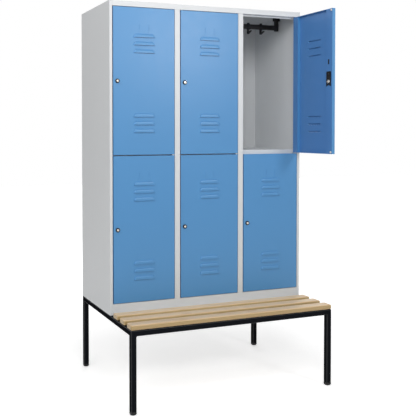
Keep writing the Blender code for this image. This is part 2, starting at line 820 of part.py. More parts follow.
def build_doors():
    lock_body, lock_cam, buffer = build_lock_body_mesh(), build_lock_cam_mesh(), build_buffer_mesh()
    for row in ROWS:
        pan = build_door_mesh(row)
        for column in COLUMNS:
            place = f"{row}_{column}"
            spot = (pivot_x(column), PIVOT_INSET, door_bottom(row))
            door = add_object(f"door_{place}", pan, DOOR_BLUE, HOME, spot)
            if (row, column) == OPEN_DOOR:
                door.rotation_euler.z = OPEN_ANGLE
            lock = (FREE_X + LOCK_IN, 0, LOCK_UP)
            add_object(f"lock_body_{place}", lock_body, BLACK, door, lock)
            add_object(f"lock_cam_{place}", lock_cam, NICKEL, door, lock)
            corner = FREE_X + BUFFER_IN
            high, low = DOOR_H - BUFFER_TOP, BUFFER_BOTTOM
            add_object(f"buffer_{place}_top", buffer, CREAM, door, (corner, 0, high))
            add_object(f"buffer_{place}_bottom", buffer, CREAM, door, (corner, 0, low))


def build_hook_mesh():
    """A hook whose ring goes round the oval rail, with a forward-pointing tip below."""
    half = HOOK_W / 2
    drop = HOOK_CLEAR - SEAT_GAP
    around = HOOK_CLEAR + HOOK_WALL
    ring = flat_piece("hook", [oval(RAIL_T, RAIL_H, around, drop)], "X", -half, half)
    top = RAIL_H / 2 + around - drop
    bump_low = (-half, -HOOK_BUMP_W / 2, top - HOOK_WALL)
    bump_high = (half, HOOK_BUMP_W / 2, top + HOOK_BUMP)
    combine(ring, block("hook bump", bump_low, bump_high), "UNION")
    start = RAIL_H / 2 + HOOK_CLEAR + HOOK_WALL / 2 + drop
    front, rear = HOOK_BEHIND - HOOK_ARM / 2, HOOK_BEHIND + HOOK_ARM / 2
    tip = HOOK_RISE - HOOK_DEEP
    outline = [
        *arc((rear - HOOK_BEND, HOOK_BEND - HOOK_DEEP), HOOK_BEND, math.pi * 3 / 2, math.tau, BEND_STEPS),
        (rear, -start),
        (front, -start),
        (front, HOOK_ARM - HOOK_DEEP),
        (-HOOK_REACH, tip + HOOK_TIP_T),
        (-HOOK_REACH, tip),
    ]
    combine(ring, flat_piece("hook arm", [outline], "X", -half, half), "UNION")
    bore = oval(RAIL_T, RAIL_H, HOOK_CLEAR, drop)
    past = half + OVERRUN
    combine(ring, flat_piece("hook bore", [bore], "X", -past, past), "DIFFERENCE")
    return smooth(settled(ring))


def build_coat_rail(row, column):
    """The oval rail with the two hangers that carry it."""
    low, high = room_sides(column)
    ceiling = ceiling_of(row) - SEAT_GAP
    middle = ceiling_of(row) - RAIL_DOWN
    foot = middle - RAIL_H / 2 - POST_BELOW
    outline = [(RAIL_Y + y, middle + z) for y, z in oval(RAIL_T, RAIL_H)]
    rail = flat_piece(f"coat_rail_{row}_{column}", [outline], "X", low + POST_IN, high - POST_IN)
    near, far = RAIL_Y - POST_T / 2, RAIL_Y + POST_T / 2
    for x in (low + POST_IN, high - POST_IN):
        half = POST_W / 2
        post = block("hanger post", (x - half, near, foot), (x + half, far, ceiling - HEAD_H / 2))
        half = HEAD_W / 2
        head = block("hanger head", (x - half, near, ceiling - HEAD_H), (x + half, far, ceiling))
        combine(head, post, "UNION")
        fillet(head, HANGER_EDGE, 1)
        combine(rail, add_object("hanger", settled(head)), "UNION")
    return rail


def build_rails_and_hooks():
    """A coat rail in every compartment, and hooks of their own on the rail behind the open door."""
    hook = build_hook_mesh()
    for row in ROWS:
        for column in COLUMNS:
            rail = build_coat_rail(row, column)
            low, high = room_sides(column)
            spots = [
                ((low + high) / 2 - HOOK_ASIDE + (number - (HOOK_COUNT - 1) / 2) * HOOK_PITCH, RAIL_Y)
                for number in range(HOOK_COUNT)
            ]
            if (row, column) == OPEN_DOOR:
                for number, spot in enumerate(spots):
                    place = (*spot, ceiling_of(row) - RAIL_DOWN)
                    add_object(f"hook_{row}_{column}_{number + 1}", hook, BLACK, HOME, place)
            name = rail.name
            add_object(name, smooth(settled(rail)), BLACK, HOME)


def plan_sheet(xs, ys, z, is_open):
    """A flat sheet of faces between the lines xs and ys, without the faces whose middles lie in the open."""
    bm = bmesh.new()
    columns, rows = len(xs) - 1, len(ys) - 1
    bmesh.ops.create_grid(bm, x_segments=columns, y_segments=rows, size=TUBE)
    for vert in bm.verts:
        column, row = ((place / TUBE + 1) / 2 for place in vert.co.xy)
        vert.co = (xs[round(column * columns)], ys[round(row * rows)], z)
    gaps = [face for face in bm.faces if is_open(*face.calc_center_median().xy)]
    bmesh.ops.delete(bm, geom=gaps, context="FACES_ONLY")
    return bm


def build_stand():
    """Four legs, a frame round the top and a cross rail under the body's front edge."""
    half, front = TUBE / 2, -BENCH_REACH
    foot, under = FOOT_H + SEAT_GAP, STAND_H - TUBE
    corners = [(x, y) for x in (half, BODY_W - half) for y in (front + half, BODY_D - half)]
    openings = ((front + TUBE, 0), (TUBE, BODY_D - TUBE))

    def between_rails(x, y):
        return TUBE < x < BODY_W - TUBE and any(low < y < high for low, high in openings)

    xs = (0, TUBE, BODY_W - TUBE, BODY_W)
    bm = plan_sheet(xs, (front, *openings[0], *openings[1], BODY_D), under, between_rails)
    raised = bmesh.ops.extrude_face_region(bm, geom=bm.faces[:])["geom"]
    top = [item for item in raised if isinstance(item, bmesh.types.BMVert)]
    bmesh.ops.translate(bm, verts=top, vec=(0, 0, TUBE))
    bmesh.ops.recalc_face_normals(bm, faces=bm.faces)
    leg_tops = [
        face
        for face in bm.faces
        if face.normal.z < 0
        and any(math.dist(face.calc_center_median().xy, corner) < half for corner in corners)
    ]
    feet = bmesh.ops.extrude_discrete_faces(bm, faces=leg_tops)["faces"]
    bottom = list({vert for face in feet for vert in face.verts})
    bmesh.ops.translate(bm, verts=bottom, vec=(0, 0, foot - under))
    bmesh.ops.recalc_face_normals(bm, faces=bm.faces)
    bmesh.ops.dissolve_limit(bm, angle_limit=math.radians(1), verts=bm.verts, edges=bm.edges)
    long_edges = [
        edge
        for edge in bm.edges
        if edge.is_convex
        and edge.calc_face_angle() > math.radians(40)
        and max(vert.co.z for vert in edge.verts) > foot + TUBE_EDGE
    ]
    bmesh.ops.bevel(
        bm,
        geom=long_edges,
        offset=TUBE_EDGE,
        offset_type="OFFSET",
        segments=TUBE_EDGE_STEPS,
        profile=0.5,
        affect="EDGES",
    )
    frame = add_object("stand", finish_mesh(bm, "stand"))
    inside = TUBE - 2 * TUBE_WALL
    low, high = FOOT_H - OVERRUN, FOOT_H + SPIGOT_H + SPIGOT_FIT
    sockets = []
    for corner in corners:
        outline = rounded_rectangle(corner, inside, inside, TUBE_EDGE - TUBE_WALL, TUBE_EDGE_STEPS)
        sockets.append(flat_piece("leg socket", [outline], "Z", low, high))
    combine(frame, joined("leg sockets", sockets), "DIFFERENCE")
    add_object("stand", smooth(settled(frame)), ANTHRACITE, HOME)
    return corners


def build_feet(corners):
    """Domed square caps with a spigot up into each leg."""
    reach = TUBE / math.sqrt(2)
    dome_h = FOOT_H - FOOT_RIM
    base = FOOT_BASE_D / 2
    profile = [(0, 0)]
    for step in range(DOME_STEPS + 1):
        angle = step / DOME_STEPS * math.pi / 2
        profile.append((base + (reach - base) * math.sin(angle), dome_h * (1 - math.cos(angle))))
    profile += [(reach, FOOT_H + OVERRUN), (0, FOOT_H + OVERRUN)]
    cap = turned("foot_cap", profile, "Z", TURN_SIDES)
    square = rounded_rectangle((0, 0), TUBE, TUBE, TUBE_EDGE, TUBE_EDGE_STEPS)
    combine(cap, flat_piece("foot square", [square], "Z", -OVERRUN, FOOT_H), "INTERSECT")
    inside = TUBE - 2 * TUBE_WALL - 2 * SPIGOT_FIT
    spigot = rounded_rectangle((0, 0), inside, inside, TUBE_EDGE - TUBE_WALL, TUBE_EDGE_STEPS)
    combine(cap, flat_piece("foot spigot", [spigot], "Z", dome_h, FOOT_H + SPIGOT_H), "UNION")
    mesh = smooth(settled(cap))
    names = ("front_left", "back_left", "front_right", "back_right")
    for name, (x, y) in zip(names, corners):
        add_object(f"foot_cap_{name}", mesh, BLACK, HOME, (x, y, 0))


def build_slats():
    """The seat's wooden slats, the first flush with the front of the stand."""
    for number in range(SLAT_COUNT):
        front = -BENCH_REACH + number * SLAT_PITCH
        slat = block(
            f"slat_{number + 1}", (0, front, BODY_Z), (BODY_W, front + SLAT_W, BODY_Z + SLAT_T)
        )
        fillet(slat, SLAT_EDGE, SLAT_EDGE_STEPS)
        smooth(slat.data)
        body_piece(slat, WOOD)


def main():
    build_side_panels()
    build_partitions()
    build_roof_and_floor()
    build_back_and_shelves()
    build_pivot_blocks()
    build_doors()
    build_rails_and_hooks()
    build_feet(build_stand())
    build_slats()


clear_scene()
PARTS = make_collection("locker_with_bench")
CUTTERS = make_collection("locker_with_bench_cutters")
CUTTERS.hide_render = True
BODY_GREY = make_material("light grey powder coat", (0.62, 0.63, 0.63), 0.45)
DOOR_BLUE = make_material("light blue powder coat", (0.17, 0.40, 0.68), 0.42)
ZINC = make_material("zinc plated steel", (0.60, 0.61, 0.62), 0.35, 0.9)
NICKEL = make_material("nickel plated lock", (0.66, 0.65, 0.62), 0.25, 1.0)
BLACK = make_material("black plastic", (0.018, 0.018, 0.020), 0.5)
CREAM = make_material("cream rubber", (0.78, 0.74, 0.64), 0.7)
ANTHRACITE = make_material("anthracite powder coat", (0.030, 0.034, 0.042), 0.5)
WOOD = make_material("clear varnished pine", (0.56, 0.38, 0.22), 0.5)
HOME = bpy.data.objects.new("locker_home", None)
HOME.location = (-BODY_W / 2, (FRONT_REACH - BODY_D) / 2, 0)
PARTS.objects.link(HOME)

if __name__ == "__main__":
    main()
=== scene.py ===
"""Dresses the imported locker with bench: coated steel, nickel, moulded plastic and varnished wood.

Laid out as a Blender add-on and run as a script. Metres, +Z up, the seat towards -Y.
"""

import json
import math

import bmesh
import bpy
from mathutils import Matrix, Vector


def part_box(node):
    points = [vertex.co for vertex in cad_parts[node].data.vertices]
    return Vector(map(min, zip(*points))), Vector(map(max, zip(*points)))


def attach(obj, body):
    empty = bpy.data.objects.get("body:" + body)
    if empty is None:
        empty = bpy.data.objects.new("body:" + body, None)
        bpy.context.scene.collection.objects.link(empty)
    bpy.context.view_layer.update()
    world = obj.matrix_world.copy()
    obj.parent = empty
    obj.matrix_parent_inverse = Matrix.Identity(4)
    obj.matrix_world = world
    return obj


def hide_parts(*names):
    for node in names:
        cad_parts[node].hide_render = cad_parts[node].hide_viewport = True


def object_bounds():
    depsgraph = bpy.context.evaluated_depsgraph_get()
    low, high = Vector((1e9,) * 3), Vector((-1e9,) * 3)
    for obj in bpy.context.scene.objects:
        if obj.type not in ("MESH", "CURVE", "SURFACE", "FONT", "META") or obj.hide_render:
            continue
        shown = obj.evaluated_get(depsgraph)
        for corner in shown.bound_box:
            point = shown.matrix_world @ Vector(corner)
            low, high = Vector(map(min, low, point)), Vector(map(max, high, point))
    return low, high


bl_info = {
    "name": "Locker with bench",
    "version": (1, 0, 0),
    "blender": (4, 5, 0),
    "location": "3D View > Sidebar > Locker",
    "description": "Finishes a packed locker with bench piece by piece, and sets up its studio",
    "category": "Object",
}

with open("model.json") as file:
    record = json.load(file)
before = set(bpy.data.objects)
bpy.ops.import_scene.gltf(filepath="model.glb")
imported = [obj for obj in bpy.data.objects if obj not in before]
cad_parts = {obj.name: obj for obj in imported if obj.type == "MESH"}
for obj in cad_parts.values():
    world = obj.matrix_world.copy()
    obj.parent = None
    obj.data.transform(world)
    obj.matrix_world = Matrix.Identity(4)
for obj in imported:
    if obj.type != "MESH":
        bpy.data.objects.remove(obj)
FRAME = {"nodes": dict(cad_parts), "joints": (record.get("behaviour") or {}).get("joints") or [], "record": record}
NODES = FRAME["nodes"]
BODIES = FRAME["record"]["behaviour"]["bodies"]
BODY_OF = {node: body for body, members in BODIES.items() for node in members}
CAD_LOW, CAD_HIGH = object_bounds()
JOINTS = {joint["name"]: joint for joint in FRAME["joints"]}
DOORS = sorted(name.removeprefix("hinge_") for name in JOINTS if name.startswith("hinge_"))
PHOTO_SIDE = 416  # pixels

# Sizes of a door as seen from the foot of its hinge axis, X towards its hinge edge and -Y out of its face
DOOR_HEIGHT = 0.79275
DOOR_FREE_X = -0.352167
DOOR_FACE_Y = -0.0055
DOOR_BACK_Y = 0.0135
DOOR_MIDDLE_X = -0.173333
LOUVRES_LOW, LOUVRES_HIGH, LOUVRE_PITCH = 0.1205, 0.5495, 0.0418  # the lowest of each group, and their step
BUFFER_IN, BUFFER_LOW, BUFFER_HIGH = 0.0085, 0.0105, 0.78325  # in from the free edge, up from the foot
LIPS_LOW, LIPS_HIGH = 0.6535, 0.7085  # round the label lips, above the louvres
LIP_SHARE = 0.45  # of the label lips' height that is left to them
LIP_ROOT = 0.0001  # in front of the face, where they begin
SLOT_IN, SLOT_UP = 0.0305, 0.108  # the slot's middle from the free edge, and above the lock's axis
# A black block at the back of the slot above the lock paints the shade inside it
SLOT_SHADE_BLOCK, SHADE_BLOCK_SUNK = (0.0112, 0.0012, 0.0272), 0.0002  # its size, and how deep it sits in the sheet

# Other sizes that pieces share
SEAT_GAP = 0.0003  # between pieces that rest on each other
LOCK_BORE = 0.00665
LOCK_PLATE_Y, LOCK_ARM_Y = 0.0149, 0.0181  # the middle of the plate and of the arm, inside the door
RAIL_UP = 0.020  # a coat rail's axis above the foot of its hangers
RAIL_EDGE, SLAT_EDGE = 0.0006, 0.0068  # roundings
TUBE = 0.030

# Each lamp's name, power in watts, place, the point that it is turned to, and the side of its square
LAMPS = (
    ("left_high", 75, (-3.0, -4.2, 3.4), (0.0, 0.0, 1.3), 3.0),
    ("left_side", 29, (-3.2, -1.2, 3.4), (-0.6, 0.0, 1.8), 2.0),
    ("gleam", 33, (1.5, -3.6, 2.5), (-0.15, 0.0, 1.8), 0.7),
    ("top_close", 27, (-0.7, -2.4, 3.1), (0.0, 0.0, 1.8), 1.0),
    ("behind", 45, (1.4, 4.2, 2.6), (0.0, 0.0, 1.2), 3.0),
)
WHITE = (1, 1, 1, 1)
FLOOR_REACH, FLOOR_GAP = 14, 0.0005  # to each side of the middle, and under the feet
FLOOR_GLOW = 0.52, 1.0  # of the floor near the stand and far from it
GLOW_SPAN = 0.9, 2.8  # from the middle, where the one turns into the other


# Sizes and colours that a user would change


class LockerBodySettings(bpy.types.PropertyGroup):
    """The sheet-steel body and its coat rails."""

    colour: bpy.props.FloatVectorProperty(
        name="Body colour", description="Colour of the coat on the body", subtype="COLOR",
        size=3, min=0, max=1, default=(0.664, 0.68, 0.692),
    )
    edge: bpy.props.FloatProperty(
        name="Sheet edge", description="Rounding of the cut edges of the sheet", unit="LENGTH",
        min=0, max=0.0005, default=0.0003, precision=5,
    )
    peel: bpy.props.FloatProperty(
        name="Orange peel", description="Size of the ripple in the powder coat", unit="LENGTH",
        min=0.0005, max=0.01, default=0.0028, precision=4,
    )


class LockerDoorSettings(bpy.types.PropertyGroup):
    """The doors, with their pressed louvres, locks and buffers."""

    colour: bpy.props.FloatVectorProperty(
        name="Door colour", description="Colour of the coat on the doors", subtype="COLOR",
        size=3, min=0, max=1, default=(0.0755, 0.260, 0.525),
    )
    edge: bpy.props.FloatProperty(
        name="Sheet edge", description="Rounding of the cut edges of the sheet", unit="LENGTH",
        min=0, max=0.0005, default=0.0003, precision=5,
    )


class LockerStandSettings(bpy.types.PropertyGroup):
    """The square-tube stand and its foot caps."""

    colour: bpy.props.FloatVectorProperty(
        name="Stand colour", description="Colour of the coat on the tubes", subtype="COLOR",
        size=3, min=0, max=1, default=(0.0096, 0.0105, 0.0132),
    )
    edge: bpy.props.FloatProperty(
        name="Tube edge", description="Rounding of the edges that the tubes' corners end in", unit="LENGTH",
        min=0, max=0.002, default=0.0008, precision=5,
    )


class LockerSeatSettings(bpy.types.PropertyGroup):
    """The slatted seat."""

    light: bpy.props.FloatVectorProperty(
        name="Early wood", description="Colour of the pale bands in the grain", subtype="COLOR",
        size=3, min=0, max=1, default=(0.86, 0.635, 0.385),
    )
    dark: bpy.props.FloatVectorProperty(
        name="Late wood", description="Colour of the dark bands in the grain", subtype="COLOR",
        size=3, min=0, max=1, default=(0.70, 0.46, 0.235),
    )


class LockerStageSettings(bpy.types.PropertyGroup):
    """The floor, the lamps and the camera."""

    lamps: bpy.props.FloatProperty(
        name="Lamps", description="Share of their power that the lamps shine with", min=0, max=4, default=1,
    )
    sky: bpy.props.FloatProperty(
        name="Room light", description="Strength of the even light from all round",
        min=0, max=4, default=0.2,
    )
    eye: bpy.props.FloatVectorProperty(
        name="Camera place", description="Where the camera stands", subtype="TRANSLATION", unit="LENGTH",
        size=3, default=(-1.8321, -3.5981, 1.4134), precision=4,
    )
    turn: bpy.props.FloatProperty(
        name="Camera turn", description="How far the camera looks to the right of straight ahead",
        subtype="ANGLE", default=0.35929,
    )
    dip: bpy.props.FloatProperty(
        name="Camera dip", description="How far the camera looks down", subtype="ANGLE",
        default=math.radians(1.5),
    )
    roll: bpy.props.FloatProperty(
        name="Camera roll", description="Roll of the camera about its own line of sight", subtype="ANGLE",
        default=-0.00237,
    )
    focal_px: bpy.props.FloatProperty(
        name="Focal length", description="Focal length in pixels of the photograph",
        min=50, max=5000, default=701.2,
    )
    centre_px: bpy.props.FloatVectorProperty(
        name="Optical centre", description="Where the line of sight meets the photograph, in pixels",
        size=2, default=(124.77, 149.56),
    )


# Materials


class Nodes:
    """Short calls to add nodes to a tree and to join them."""

    def __init__(self, tree):
        self.tree = tree

    def add(self, kind, inputs=None, **fields):
        node = self.tree.nodes.new(kind)
        for field, value in fields.items():
            setattr(node, field, value)
        for socket, value in (inputs or {}).items():
            self.feed(node.inputs[socket], value)
        return node

    def feed(self, socket, value):
        """Joins another node's output to the socket, or gives the socket a value of its own."""
        if isinstance(value, bpy.types.NodeSocket):
            self.tree.links.new(value, socket)
        else:
            socket.default_value = value


class Shader(Nodes):
    """A new material's nodes."""

    def __init__(self, name):
        self.material = bpy.data.materials.new(name)
        self.material.use_nodes = True
        super().__init__(self.material.node_tree)
        self.surface = self.tree.nodes["Principled BSDF"]
        coordinates = self.add("ShaderNodeTexCoord").outputs
        self.place, self.facing = coordinates["Object"], coordinates["Normal"]

    def set(self, **values):
        """Feeds the surface's own sockets, named with _ for a space."""
        for name, value in values.items():
            self.feed(self.surface.inputs[name.replace("_", " ")], value)

    def noise(self, size, detail=2.0, stretch=(1, 1, 1), roughness=0.5, offset=(0, 0, 0)):
        """Noise whose features are about as large as size, in metres."""
        placed = self.add(
            "ShaderNodeMapping", {"Vector": self.place, "Scale": stretch, "Location": offset}
        ).outputs[0]
        return self.add(
            "ShaderNodeTexNoise",
            {"Vector": placed, "Scale": 1 / size, "Detail": detail, "Roughness": roughness},
        ).outputs[0]

    def between(self, share, low, high, span=(0, 1)):
        """share, taken over span, as a number from low to high."""
        return self.add(
            "ShaderNodeMapRange",
            {"Value": share, "From Min": span[0], "From Max": span[1], "To Min": low, "To Max": high},
        ).outputs[0]

    def colours(self, share, *stops):
        """share turned into colour by stops of (place, colour)."""
        ramp = self.add("ShaderNodeValToRGB", {"Fac": share})
        band = ramp.color_ramp
        while len(band.elements) < len(stops):
            band.elements.new(0.5)
        for element, (place, colour) in zip(band.elements, stops):
            element.position = place
            element.color = (*colour, 1)
        return ramp.outputs[0]

    def mixed(self, share, a, b, blend="MIX"):
        """The colours a and b blended by share, each a socket or three numbers."""
        a, b = (end if isinstance(end, bpy.types.NodeSocket) else (*end, 1) for end in (a, b))
        node = self.add("ShaderNodeMix", {0: share, 6: a, 7: b}, data_type="RGBA", blend_type=blend)
        return node.outputs[2]

    def bumped(self, height, depth, under=None):
        """A normal that stands up by depth, in metres, where height is 1."""
        inputs = {"Height": height, "Distance": depth, "Strength": 1.0}
        if under is not None:
            inputs["Normal"] = under
        return self.add("ShaderNodeBump", inputs).outputs[0]


def tint(colour, factor):
    """The colour made darker, or lighter up to white."""
    return tuple(min(1.0, part * factor) for part in colour)


def bare_edge(name, colour, roughness):
    """The coat along a cut edge, where it is thin and shinier, with a few nicks down to the steel."""
    paint = Shader(name)
    steel = (0.30, 0.31, 0.32)
    nick = paint.between(paint.noise(0.006, detail=3.0, roughness=0.65), 0.0, 0.75, (0.68, 0.74))
    paint.set(
        Base_Color=paint.mixed(nick, tint(colour, 0.93), steel),
        Roughness=paint.between(paint.noise(0.01), roughness - 0.12, roughness - 0.04),
        Metallic=paint.between(nick, 0.0, 0.8),
        Normal=paint.bumped(nick, -0.00006),
    )
    return paint.material


def powder_coat(name, colour, peel, roughness, shine, inside):
    """Baked powder on steel: a fine orange peel, a slow change of film thickness and dust specks.

    inside multiplies the colour of the faces that look back or to the left: painted shade.
    """
    paint = Shader(name)
    film = paint.noise(0.35, detail=1.0)
    body = paint.mixed(film, tint(colour, 0.985), tint(colour, 1.015))
    # Painted shade: the faces that look back or to the left are darkened by the inside tone
    if inside:
        facing = paint.add("ShaderNodeVectorMath", {0: paint.facing, 1: (-1, 1, 0)}, operation="DOT_PRODUCT")
        painted_shade_share = paint.between(facing.outputs["Value"], 0.0, 1.0, (0.45, 0.8))
        body = paint.mixed(1.0, body, paint.mixed(painted_shade_share, WHITE[:3], inside), "MULTIPLY")
    speck = paint.between(paint.noise(peel / 3, detail=1.0), 0.0, 1.0, (0.66, 0.8))
    paint.set(
        Base_Color=paint.mixed(speck, body, tint(colour, 0.9)),
        Roughness=paint.between(paint.noise(0.05, detail=3.0), roughness - 0.04, roughness + 0.05),
        Normal=paint.bumped(paint.noise(peel), 0.00002),
        Specular_IOR_Level=shine,
    )
    return paint.material


def moulded_plastic(name, colour, roughness):
    """Black polyamide with the fine spark-eroded grain of its mould."""
    plastic = Shader(name)
    plastic.set(
        Base_Color=plastic.mixed(plastic.noise(0.02), tint(colour, 0.9), tint(colour, 1.25)),
        Roughness=plastic.between(plastic.noise(0.006), roughness - 0.06, roughness + 0.06),
        Normal=plastic.bumped(plastic.noise(0.0007, detail=1.0), 0.00002),
        Specular_IOR_Level=0.3,
    )
    return plastic.material


def plated_metal(name, colour, roughness):
    """Nickel or zinc plate: fine polishing lines and faint clouds."""
    metal = Shader(name)
    cloud = metal.noise(0.008, detail=3.0)
    lines = metal.noise(0.0009, detail=3.0)
    metal.set(
        Base_Color=metal.mixed(cloud, tint(colour, 0.93), tint(colour, 1.05)),
        Metallic=1.0,
        Roughness=metal.between(lines, roughness - 0.06, roughness + 0.1),
        Normal=metal.bumped(lines, 0.000008),
    )
    return metal.material


def soft_rubber(name, colour, roughness):
    """Cream rubber that lets a little light in, with a dull, faintly uneven skin."""
    rubber = Shader(name)
    rubber.set(
        Base_Color=rubber.mixed(rubber.noise(0.004), tint(colour, 0.95), tint(colour, 1.03)),
        Roughness=roughness,
        Subsurface_Weight=0.15,
        Subsurface_Radius=(0.004, 0.0025, 0.0015),
        Subsurface_Scale=0.4,
        Normal=rubber.bumped(rubber.noise(0.0012, detail=1.0), 0.00001),
    )
    return rubber.material


def varnished_wood(name, light, dark):
    """Slats cut along the grain: growth rings stretched along X, pores, slow figures and a clear coat.

    The sides and ends of the slats are darker than their tops: painted shade, with some of the ends' darker end
    grain.
    """
    end_grain_and_shade = (0.54, 0.52, 0.39)
    wood = Shader(name)
    bend = wood.noise(0.16, stretch=(0.22, 1, 1))
    drift = wood.add(
        "ShaderNodeCombineXYZ",
        {"Y": wood.between(bend, -0.022, 0.022), "Z": wood.between(bend, 0.018, -0.018)},
    ).outputs[0]
    bent = wood.add("ShaderNodeVectorMath", {0: wood.place, 1: drift}, operation="ADD").outputs[0]
    placed = wood.add(
        "ShaderNodeMapping", {"Vector": bent, "Scale": (0.035, 1.0, 1.9), "Location": (0.31, 0.117, 0.043)}
    ).outputs[0]
    rings = wood.add(
        "ShaderNodeTexWave",
        {"Vector": placed, "Scale": 26.0, "Distortion": 2.2, "Detail": 3.0, "Detail Scale": 1.6},
        wave_type="RINGS", rings_direction="X", wave_profile="SAW",
    ).outputs["Fac"]
    fibres = wood.noise(0.0022, detail=4.0, stretch=(0.02, 1, 1), roughness=0.6)
    pores = wood.between(wood.noise(0.0013, stretch=(0.05, 1, 1)), 0.0, 1.0, (0.63, 0.72))
    boards = wood.noise(0.11, detail=0.0, stretch=(0.05, 1, 0.4), offset=(0.2, 0.05, 0))
    grain = wood.colours(
        rings, (0.0, light), (0.62, tint(light, 0.95)), (0.86, dark), (1.0, tint(dark, 1.08))
    )
    toned = wood.mixed(wood.between(boards, 0.0, 0.55, (0.3, 0.7)), grain, tint(light, 1.05))
    fine = wood.mixed(wood.between(fibres, 0.0, 0.35, (0.35, 0.7)), toned, tint(dark, 1.1))
    # Painted shade on the sides and ends, with some darker end grain: the less a face looks up, the darker it is
    facing = wood.add("ShaderNodeSeparateXYZ", {0: wood.facing})
    level = wood.add("ShaderNodeMath", {0: facing.outputs["Z"]}, operation="ABSOLUTE").outputs[0]
    side = wood.mixed(wood.between(level, 0.0, 1.0, (0.25, 0.9)), end_grain_and_shade, WHITE[:3])
    grain_and_shaded_sides = wood.mixed(1.0, fine, side, "MULTIPLY")
    wood.set(
        Base_Color=wood.mixed(wood.between(pores, 0.0, 0.45), grain_and_shaded_sides, tint(dark, 0.7)),
        Roughness=wood.between(fibres, 0.42, 0.56),
        Coat_Weight=0.35,
        Coat_Roughness=0.28,
        Normal=wood.bumped(pores, -0.00008, under=wood.bumped(fibres, 0.00005)),
    )
    return wood.material


# The roughness and shine of each powder coat, and the painted shade of the faces that look back or to the left, if
# any
COATS = {
    "body": (0.42, 0.5, None),
    "door": (0.36, 0.5, (0.92, 0.79, 0.91)),
    "stand": (0.45, 0.0, None),
}

# What makes each finish that has no settings, with its colour and roughness
PLAIN_FINISHES = {
    "black_moulding": (moulded_plastic, (0.0065, 0.0065, 0.0075), 0.5),
    "lock_moulding": (moulded_plastic, (0.010, 0.009, 0.009), 0.38),
    "nickel_plate": (plated_metal, (0.62, 0.585, 0.535), 0.24),
    "zinc_plate": (plated_metal, (0.62, 0.64, 0.66), 0.34),
    "buffer_rubber": (soft_rubber, (0.80, 0.74, 0.62), 0.62),
}


def finish_of(name, make, *values):
    """The named material, made the first time that a piece asks for it."""
    return bpy.data.materials.get(name) or make(name, *values)


def coat_of(scene, part):
    """The powder coat of the body, the doors or the stand."""
    colour = getattr(scene, f"locker_{part}_look").colour[:]
    return finish_of(part + "_coat", powder_coat, colour, scene.locker_body_look.peel, *COATS[part])


def edge_of(scene, part):
    """The same coat along the cut edges."""
    colour = getattr(scene, f"locker_{part}_look").colour[:]
    return finish_of(part + "_edge", bare_edge, colour, COATS[part][0])


def plain_finish(name):
    """A finish from the table above."""
    return finish_of(name, *PLAIN_FINISHES[name])


def seat_wood(scene):
    look = scene.locker_seat_look
    return finish_of("seat_wood", varnished_wood, look.light[:], look.dark[:])


# Shapes

FOLD_LIMIT = 2e-6  # square metres of triangles that may lie over in a rounded piece
LYING_OVER = 0.5  # cosine of the angle to its face past which a triangle lies over
FLAT_WITHIN = 0.6  # degrees between triangles that make one face
ROUNDED_FROM = 35  # degrees that an edge turns by before it is rounded
SMOOTH_UP_TO = 47.0  # degrees that an edge turns by before its shading breaks
MERGED = 1e-6  # distance at which points are one


def added(name, data):
    """A new object in the scene that shows data."""
    thing = bpy.data.objects.new(name, data)
    bpy.context.scene.collection.objects.link(thing)
    return thing


def mesh_of(name, form):
    """A new mesh made of the form, a bmesh, which is freed."""
    mesh = bpy.data.meshes.new(name)
    form.to_mesh(mesh)
    form.free()
    return mesh


def new_piece(name, form):
    """An object in the scene that holds the form, with its faces turned outwards."""
    bmesh.ops.recalc_face_normals(form, faces=form.faces[:])
    return added(name, mesh_of(name, form))


def finished(piece):
    """Turns the piece's live modifiers into its own mesh."""
    graph = bpy.context.evaluated_depsgraph_get()
    mesh = bpy.data.meshes.new_from_object(piece.evaluated_get(graph), depsgraph=graph)
    piece.modifiers.clear()
    old, piece.data = piece.data, mesh
    bpy.data.meshes.remove(old)
    mesh.name = piece.name
    return piece


def rounded(piece, width, steps, angle=None, **fields):
    """Rounds the piece's edges, or only those that turn by more than angle, in degrees."""
    rounding = piece.modifiers.new("edges", "BEVEL")
    rounding.width, rounding.segments = width, steps
    if angle is None:
        rounding.limit_method = "NONE"
    else:
        rounding.limit_method, rounding.angle_limit = "ANGLE", math.radians(angle)
    for field, value in fields.items():
        setattr(rounding, field, value)
    return finished(piece)


def folded_over(mesh):
    """The area of the mesh's triangles that lie over in the face that they are in."""
    mesh.calc_loop_triangles()
    return sum(
        triangle.area for triangle in mesh.loop_triangles
        if triangle.normal.dot(mesh.polygons[triangle.polygon_index].normal) < LYING_OVER
    )


def smoothed(piece, angle):
    """Smooth shading that breaks at edges sharper than angle, with large faces left flat."""
    piece.data.shade_smooth()
    piece.data.set_sharp_from_angle(angle=math.radians(angle))
    weighted = piece.modifiers.new("even shading", "WEIGHTED_NORMAL")
    weighted.weight = 100
    weighted.keep_sharp = True
    return finished(piece)


def seated(piece, body, nodes, angle=SMOOTH_UP_TO):
    """Shades a finished piece, puts it on its body, and hides the nodes that it stands for."""
    smoothed(piece, angle)
    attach(piece, body)
    if nodes:
        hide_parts(*nodes)
    return piece


